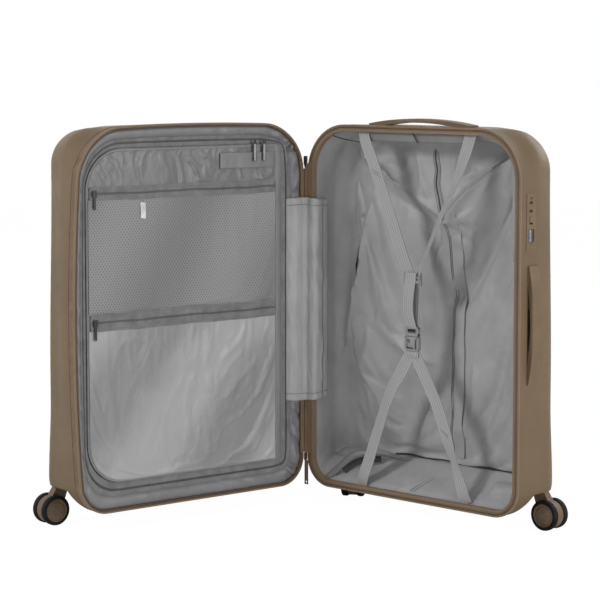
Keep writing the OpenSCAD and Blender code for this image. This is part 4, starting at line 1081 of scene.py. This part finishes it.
# the tub from its mouth to its back, as (outward, depth)
profile = [(0.0, 14.6), (-0.4, 16), (-0.8, 20), (-1.0, 27), (-1.0, 36), (-1.2, 46), (-1.6, 56), (-2.4, 66)]
turn = np.linspace(0.12, math.pi / 2, 12)
profile += [(-2.4 - 36 * (1 - math.cos(t)), 68 + 37 * math.sin(t)) for t in turn]
profile += [(-43, DEEP + 0.6), (-52, DEEP + 4)]
pts, nor = outline(TUB, arc_n=18, step=6.0)
mouth = matched(pts, outline(CASE, inset=9.0, arc_n=40, step=2.0)[0])
P = np.zeros((len(pts), len(profile), 3))
for j, (o, d) in enumerate(profile):
    # the cloth runs from the rim's inner edge to the walls of the tub, and more steeply beside the lock
    by_lock = smooth(480, 505, pts[:, 1:]) * (1 - smooth(665, 690, pts[:, 1:]))
    by_lock = smooth(W - 60, W - 35, pts[:, :1]) * by_lock
    k = (1 - smooth(14, 42 - 21 * by_lock, d)) * np.ones((1, 2))
    P[:, j, :2], P[:, j, 2] = (pts + nor * o) * (1 - k) + mouth * k, d
# the width of the casters' housings
HUMP_W = 93.0


def humps(P):
    """The lining rises over the caster housings in the two low corners."""
    P = np.array(P, float)
    u, z, d = P[..., 0], P[..., 1], P[..., 2]
    inside = smooth(HUMP_W + 14, HUMP_W - 6, u) + smooth(W - HUMP_W - 14, W - HUMP_W + 6, u)
    lift = smooth(18, 62, d) * inside
    ramp = FLOOR_GAP + 13 + 50 * np.clip((d - 14) / 84, 0, 1)
    want = np.maximum(FLOOR_GAP + 16 + 34 * lift, ramp)
    P[..., 1] = np.where((z < want) & (d > 16), want, z)
    return P


def in_back(name, P, mat, slot="lining", **more):
    return grid(name, P, mat, "back_half", "back", slot=slot, **more)


def back_tube(name, path, r, mat, slot="lining"):
    tube(name, path, r, mat, "back_half", slot=slot)


in_back("back_lining_walls", liner_shape(humps(P)), LINING, close_u=True, replaced=["back_liner"], angle=70)
# the panel at its back, with the larger radius at the top
z0, z1 = LIN_Z0 + 47, LIN_Z1 - 34
z = np.linspace(z0, z1, 170)
k = corner_cut(z, z0, z1, 8.0, 44.0)
P = rows_between(LIN_U0 + 30 + k, LIN_U1 - 30 - k, z, 120)
P[..., 2] = DEEP
P = liner_shape(P)
LINER = settle(P, rim_of(P, 2), grow=0.004, near=5.0, far=4.0, bend=4.0)
in_back("back_lining_panel", LINER, LINING, angle=70)
# border from the lining to the rim
pts, nor = outline(CASE, arc_n=14, step=10.0)
border = sweep(pts, nor, [(-3.3, 15.0), (-5, 14.4), (-8, 14.2), (-11, 15.0)])
in_back("back_lining_border", border, LINING_SMOOTH, close_u=True)


# ---- zip, hems and tabs of the back lining
def on_lining(u, z, lift):
    """Depth of the hanging lining at local points, less a lift towards the viewer."""
    u, z = np.asarray(u, float), np.asarray(z, float)
    i = (z - LINER[0, 0, 1]) / (LINER[-1, 0, 1] - LINER[0, 0, 1]) * (LINER.shape[0] - 1)
    i = np.clip(np.round(i).astype(int), 0, LINER.shape[0] - 1)
    lo, hi = LINER[i, 0, 0], LINER[i, -1, 0]
    j = np.clip(np.round((u - lo) / (hi - lo) * (LINER.shape[1] - 1)).astype(int), 0, LINER.shape[1] - 1)
    return LINER[i, j, 2] - lift


def soft_line(v, n):
    """A running mean over n values."""
    k = np.ones(n) / n
    return np.convolve(np.pad(v, n // 2, mode="edge"), k, mode="valid")


def laid_path(points, n, lift, soft, shift=0.0):
    """Local points on the lining along (u, z) points."""
    path = curve_points([(a + shift, b, 0) for a, b in points], n)
    path[:, 2] = soft_line(on_lining(path[:, 0], path[:, 1], lift), soft)
    return path


def laid_strip(name, points, width, mat, cols=7, lift=1.0, crown=0.8, n=120, soft=7, **more):
    """A strip that follows the lining along (u, z) points."""
    path = curve_points([(a, b, 0) for a, b in points], n)[:, :2]
    t = np.gradient(path, axis=0)
    t /= np.linalg.norm(t, axis=1)[:, None]
    nor = np.stack([-t[:, 1], t[:, 0]], 1)
    P = np.zeros((n, cols, 3))
    for j, s in enumerate(np.linspace(-0.5, 0.5, cols)):
        P[:, j, :2] = path + nor * s * width
        P[:, j, 2] = soft_line(on_lining(P[:, j, 0], P[:, j, 1], lift + crown * (1 - 4 * s * s)), soft)
    in_back(name, P, mat, **more)


ZIP_TOP = [(249, 694), (247, 676), (252, 650), (251, 622), (258, 596), (266, 572)]
PLACKET = [(294, 574), (297, 520), (300, 460), (301, 393), (303, 321), (303, 240), (302, 165), (301, 108)]
laid_strip("liner_zip_tape", ZIP_TOP, 13, LINING_SMOOTH, n=80, lift=1.2, slot="zip_tape",
           replaced=["liner_zip"])
back_tube("liner_zip_groove", laid_path(ZIP_TOP, 80, 3.0, 7), 0.8, DARK_ZIP_AND_SHADE, "zip_tape")
laid_strip("liner_placket", PLACKET, 27, LINING, n=160, cols=9, lift=0.6, crown=1.0, soft=5)
for k, (shift, mat) in enumerate(((-15.5, TAPE), (-12, TAPE), (12.5, LINING_SMOOTH))):
    back_tube(f"placket_seam_{k}", laid_path(PLACKET, 160, 1.5, 5, shift), 0.7, mat)
# double seam down the sloping floor, and the loose edge of cloth over the caster's housing
for k, u in enumerate((244, 252)):
    t = np.linspace(0, 1, 30)
    d = 18 + 78 * t
    line = np.stack([u + 43 * t, FLOOR_GAP + 13.8 + 50 * (d - 14) / 84, d], 1)
    back_tube(f"floor_seam_{k}", line, 0.7, TAPE)
edge_line = curve_points([(30, 47, 16), (42, 58, 21), (62, 80, 28), (90, 101, 34), (118, 109, 42),
                          (150, 108, 54), (178, 99, 70), (200, 92, 86)], 60)
foot_line = curve_points([(40, 45, 15), (53, 52, 20), (73, 71, 26), (98, 89, 32), (121, 96, 41),
                          (150, 97, 54), (178, 92, 70), (203, 88, 88)], 60)
k = np.linspace(0, 1, 9)[None, :, None]
P = edge_line[:, None, :] * (1 - k) + foot_line[:, None, :] * k
P[..., 2] -= 5.0 * np.sin(math.pi * k[..., 0]) * np.sin(math.pi * np.linspace(0, 1, 60))[:, None]
P[..., 1] += 1.2 * np.sin(np.linspace(0, 19, 60))[:, None] * (1 - k[..., 0])
in_back("floor_flap", P, LINING_SMOOTH, solid=0.0009)
# a dark strip under the flap's edge: painted shade for the hollow beneath it
dark = curve_points([(70, 62, 29), (82, 74, 35), (102, 84, 42), (124, 89, 50), (140, 90, 58)], 24)
ribbon("floor_flap_shade_strip", dark, 13, DARK_ZIP_AND_SHADE, "back_half", across=(0, 1, 0), thick=0.8, slot="lining")
# a dark tube along the join of the sloping floor and the back: painted shade in the fold there
t = np.linspace(0, 1, 120)
u = 150 + 318 * t
z = 97.5 + 1.6 * np.sin(t * 21) + 1.2 * np.sin(t * 9)
line = np.stack([u, z, on_lining(u, np.full(120, 100.0), 1.2)], 1)
back_tube("floor_junction_shade_line", line, 1.7, DARK_ZIP_AND_SHADE)
# hem band across the top, with its slits, and the ring of the zip below it
u, t = np.linspace(120, 392, 60)[:, None], np.linspace(0, 1, 9)[None, :]
d = 13.6 + 2.2 * t + 0.8 * np.sin(u / 19.0) * t + 3.5 * t * ((u > 250) & (u < 262))
in_back("top_hem", np.stack([u + 0 * t, 724 - 20 * t + 0 * u, d], -1), LINING_SMOOTH, solid=0.0008)
SLITS = ([(37, 717, 14.0), (52, 712, 13.6), (74, 707, 13.6), (119, 701, 14.2)],
         [(250, 722, 13.2), (256, 712, 13.0), (262, 703, 14.6)])
for k, points in enumerate(SLITS):
    back_tube(f"hem_slit_{k}", curve_points(points, 30), 1.0, BLACK)
a = np.linspace(0, 2 * math.pi, 24, endpoint=False)
ring = np.stack([244 + 4.5 * np.cos(a), 697 + 5.5 * np.sin(a), np.full(24, on_lining(244.0, 694.0, 3.0))], 1)
tube("zip_ring", ring, 1.0, DARK_METAL, "liner_zip_pull", closed=True, slot="pull_metal",
     replaced=["liner_zip_pull"])

# ---- packing straps
MID = W / 2
RING_Z, BUCKLE_Z = FLOOR_GAP + 417.0, FLOOR_GAP + 328.0


def middle_path(points, n):
    """A smooth path through points given from the middle of the case."""
    return curve_points([(MID + u, z, d) for u, z, d in points], n)


def strap(name, points, lean, twist=0.0, curl=0.0, **more):
    ribbon(name, middle_path(points, 90), 25, WEB, "back_half", across=(1, lean, 0), twist=twist, curl=curl,
           slot="webbing", **more)


t = np.linspace(0, 1, 90)
points = [(-122, 727, 14.6), (-120, 718, 13), (-96, 662, 12.2), (-52, 560, 12), (-22, 487, 12.8),
          (-11, 461, 13.6)]
strap("strap_upper_left", points, 0.38, replaced=["upper_straps"])
points = [(135, 727, 14.6), (133, 718, 13), (112, 656, 9.6), (66, 560, 6), (30, 490, 9), (12, 461, 13.6)]
twist = -38 * smooth(0.04, 0.5, t) - 8 * smooth(0.5, 0.9, t) + 10 * smooth(0.9, 1, t)
strap("strap_upper_right", points, -0.38, twist, -0.7)
points = [(-4, 312, 13.6), (-18, 288, 12.6), (-50, 236, 11.6), (-78, 170, 12.6), (-104, 100, 12.6),
          (-122, 52, 13.4), (-124, 45, 15)]
twist = -10 * smooth(0.1, 0.4, t) + 8 * smooth(0.5, 0.9, t)
strap("strap_lower_left", points, -0.42, twist, 0.5, replaced=["lower_straps"])
points = [(6, 310, 13.6), (20, 288, 12.6), (60, 220, 11.8), (92, 140, 12.2), (112, 90, 12.6), (126, 52, 13.4),
          (129, 45, 15)]
strap("strap_lower_right", points, 0.42, -26 * np.exp(-(((t - 0.72) / 0.1) ** 2)), -0.5)
# the stitches where the straps are sewn on, and the knot under the buckle
STITCHES = (("strap_stitch_0", -97.5, 650, -78.5, 642, 11.0), ("strap_stitch_1", -95, 644, -76, 636, 11.0),
            ("strap_cross_stitch_0", -47, 234, -29, 246, 10.6),
            ("strap_cross_stitch_1", 69, 176, 87, 164, 10.6))
for name, u0, z0, u1, z1, d in STITCHES:
    back_tube(name, middle_path([(u0, z0, d), (u1, z1, d)], 12), 0.5, TAPE, "webbing")
knot = middle_path([(2, 318, 16.0), (2, 314, 11.4), (2, 309, 10.4), (2, 303, 12.0)], 20)
ribbon("strap_knot", knot, 27, WEB, "back_half", slot="webbing")
# doubled adjuster loop: the front layer stands off towards the viewer
top, low = RING_Z + 11, BUCKLE_Z - 4
front = middle_path([(0, top - 6, 15.4), (0, top + 1.5, 14.4), (-0.5, top + 1, 10.4), (-1.5, top - 12, 7.8),
                     (-4, top - 44, 4.6), (-5, top - 70, 4.8), (-3, low + 12, 8.6), (-1, low, 11.2)], 70)
back = middle_path([(1, RING_Z - 8, 15.4), (2, RING_Z - 40, 15.8), (1, low, 15.0)], 40)
ribbon("adjuster_front", back_map(front) * 1000, 26, WEB, None, None, across=(1, -0.05, 0), curl=-0.35,
       replaced=["adjuster_loop"], slot="webbing")
ribbon("adjuster_back", back_map(back) * 1000, 25, WEB, None, None, slot="webbing")
for name in ("adjuster_front", "adjuster_back"):
    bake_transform(bpy.data.objects[name])
restyle(BUCKLE, "strap_ring")


def bar(u0, z0, d0, u1, z1, d1):
    """A block, its width given from the middle of the case."""
    return [[MID + u0, z0, d0, MID + u1, z1, d1]]


def pair(u0, z0, d0, u1, z1, d1):
    """The same block on either side of the middle."""
    return bar(-u1, z0, d0, -u0, z1, d1) + bar(u0, z0, d0, u1, z1, d1)


# buckle
blocks = pair(9.5, 343.2, 9.4, 15, 361, 17.2) + bar(-15, 356.8, 9.0, 15, 361, 17.4)
blocks += bar(-15, 343.2, 9.2, 15, 349.6, 17.4) + bar(-12, 350, 12.4, 12, 357, 17.0)
join_boxes("buckle_plug_body", blocks, BUCKLE, "buckle_plug", bevel=1.2, segments=3, slot="buckle_plastic",
           replaced=["buckle_plug"])
blocks = bar(-9.4, 352.0, 10.8, 9.4, 356.4, 12.6) + bar(-13, 340.8, 10.2, 13, 343.6, 15.0)
join_boxes("buckle_plug_slots", blocks, BLACK, "buckle_plug", bevel=0.3, slot="buckle_plastic")
blocks = pair(11.6, 318, 9.0, 17, 342.6, 17.6) + bar(-14, 315.2, 9.2, 14, 319.6, 17.4)
blocks += bar(-8.6, 319, 8.8, 8.6, 342.2, 17.4) + bar(-16, 337.4, 9.0, 16, 342.6, 17.4)
blocks += pair(9.8, 323.4, 10.6, 13.6, 334.4, 16.0)
join_boxes("buckle_socket_body", blocks, BUCKLE, "back_half", bevel=1.3, segments=3, slot="buckle_plastic",
           replaced=["buckle_socket"])
blocks = pair(8.4, 319.6, 12.6, 11.8, 337.6, 16.4)
blocks += bar(-10, 320.2, 8.5, 5, 322.6, 9.3) + bar(-6.2, 331, 8.5, -3.4, 338, 9.2)
join_boxes("buckle_socket_slots", blocks, BLACK, "back_half", bevel=0.3, slot="buckle_plastic")

# ---- cloth over the hinge
COVER_LOW, COVER_HIGH = 199.0, 590.0
# its line in plan, from inside the front rim round the hinge to the lining's wall
COVER_LINE = (("front", 37, 9), ("front", 32, 4), ("front", 26, 0.2), ("front", 12, -1.4), ("front", 2, -1.6),
              ("back", 2, -1.4), ("back", 10, -1.8), ("back", 16.5, -0.6), ("back", 19.5, 5),
              ("back", 19, 14), ("back", 17.5, 26), ("back", 16, 40))
flat = curve_points([MAPS[half]([u, 0.0, d]) * 1000 for half, u, d in COVER_LINE], 72)[:, :2]
reach = lengths(flat)
t = np.gradient(flat, axis=0)
t /= np.linalg.norm(t, axis=1)[:, None]
side = np.stack([t[:, 1], -t[:, 0]], 1)
S, Z = np.meshgrid(reach, np.linspace(COVER_LOW, COVER_HIGH, 90))
fold = 2.0 * ridges(S, Z, 71, 24, lean=4, spread=10, n=2) + 0.8 * waves(S, Z, 72, 60, lean=10, spread=30)
fold = fold * smooth(0, 10, S) * smooth(0, 12, reach[-1] - S)
P = np.zeros((90, 72, 3))
P[..., :2] = flat + side * (fold + 0.6)[..., None]
up = (Z - COVER_LOW) / (COVER_HIGH - COVER_LOW)
P[..., 2] = Z + (smooth(0.9, 1, up) - smooth(0.1, 0, up)) * 2.0 * np.sin(S / 21.0)
cover = grid("hinge_cover_cloth", P, COVER, None, None, replaced=["hinge_cover"], slot="hinge_cloth",
             solid=0.001, angle=60)
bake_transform(cover)
out = np.pad(side, ((0, 0), (0, 1))) * 1.1
for where, line in (("right", P[:, -14:-10].mean(1) + out[-12]), ("top", P[-4] + out), ("low", P[3] + out)):
    hem = tube(f"cover_hem_{where}", line, 0.55, TAPE, None, None, slot="hinge_cloth")
    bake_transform(hem)

# the band of the hinge between its cord and the front rim
lo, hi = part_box("hinge_tape")
P = np.zeros((60, 7, 3))
z = np.linspace(lo.z * 1000 + 1, hi.z * 1000 - 10, 60)
stops = [(-GAP, 2.2), (-GAP + 1.5, 2.6), (-2.0, 2.6), (-0.4, 3.0), (0.6, 3.6), (1.4, 4.6), (1.6, 6.0)]
for j, (u, d) in enumerate(stops):
    P[:, j] = np.stack([np.full(60, u), z, d + 0.35 * np.sin(z / 9.0) * math.sin(math.pi * j / 6)], 1)
grid("hinge_band_cloth", P, BAND, "front_half", "front", slot="rim", solid=0.001)

# ---- slider, handle pad, lock marks and pull tabs
blocks = [[-GAP - 2.2, 650, -2.2, -GAP + 2.2, 664, 2.2], [-GAP - 1.2, 652, -3.6, -GAP + 1.2, 660, -2.0]]
join_boxes("slider_top", blocks, DARK_METAL, "back_half", bevel=0.8, slot="zip_coil")
blocks = [[W + 0.6, z, 26.6, W + 3.8, z + 2.4, 49.0] for z in np.arange(338, 412, 3.4)]
join_boxes("side_grip_pad", blocks, BLACK, "side_handle", bevel=0.5, slot="rim")
blocks = [[W + 0.7, z, 30.0, W + 1.12, z + 4.8, 38.0] for z in (600.6, 585.6)]
join_boxes("lock_windows", blocks, BLACK, "back_half", bevel=0.1, slot="lock_plastic")
blocks = [[W + 0.8, 528, 32.5, W + 1.16, 530, 35.5]]
join_boxes("lock_mark", blocks, BLACK, "back_half", bevel=0.1, slot="lock_plastic")
for name in ("divider_pull_a", "divider_pull_b"):
    lo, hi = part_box(name)
    (u, z0, _), (_, z1, _) = front_unmap([((lo.x + hi.x) / 2, (lo.y + hi.y) / 2, z) for z in (lo.z, hi.z)])
    # the dark bars round each tab are partly its dark edge and partly painted shadow at its sides
    blocks = [(-3.6, z0 - 3, -1.8, -1.5, z1 - 5, -0.4), (1.5, z0 - 3, -1.8, 3.6, z1 - 5, -0.4),
              (-3.6, z0 - 3, -1.8, 3.6, z0 + 3, -0.4), (-3.4, z1 - 8, -1.9, 3.4, z1 - 4, -0.3),
              (-2.2, z1 - 6, -2.4, 2.2, z1 + 1, 0.0)]
    blocks = [(u + a, b, c, u + d, e, f) for a, b, c, d, e, f in blocks]
    join_boxes(name + "_tab", blocks, PULL, name, "front", bevel=0.6, segments=3, slot="pull_metal",
               replaced=[name])
    # the light plate lies right of the bars' middle, so more of the dark shows on the left as painted shadow
    blocks = [(u - 2.0, z0 - 2.4, -2.2, u + 2.9, z1 - 7, -1.5)]
    join_boxes(name + "_plate", blocks, PULL_LIGHT, name, "front", bevel=0.3, segments=3, slot="pull_metal")
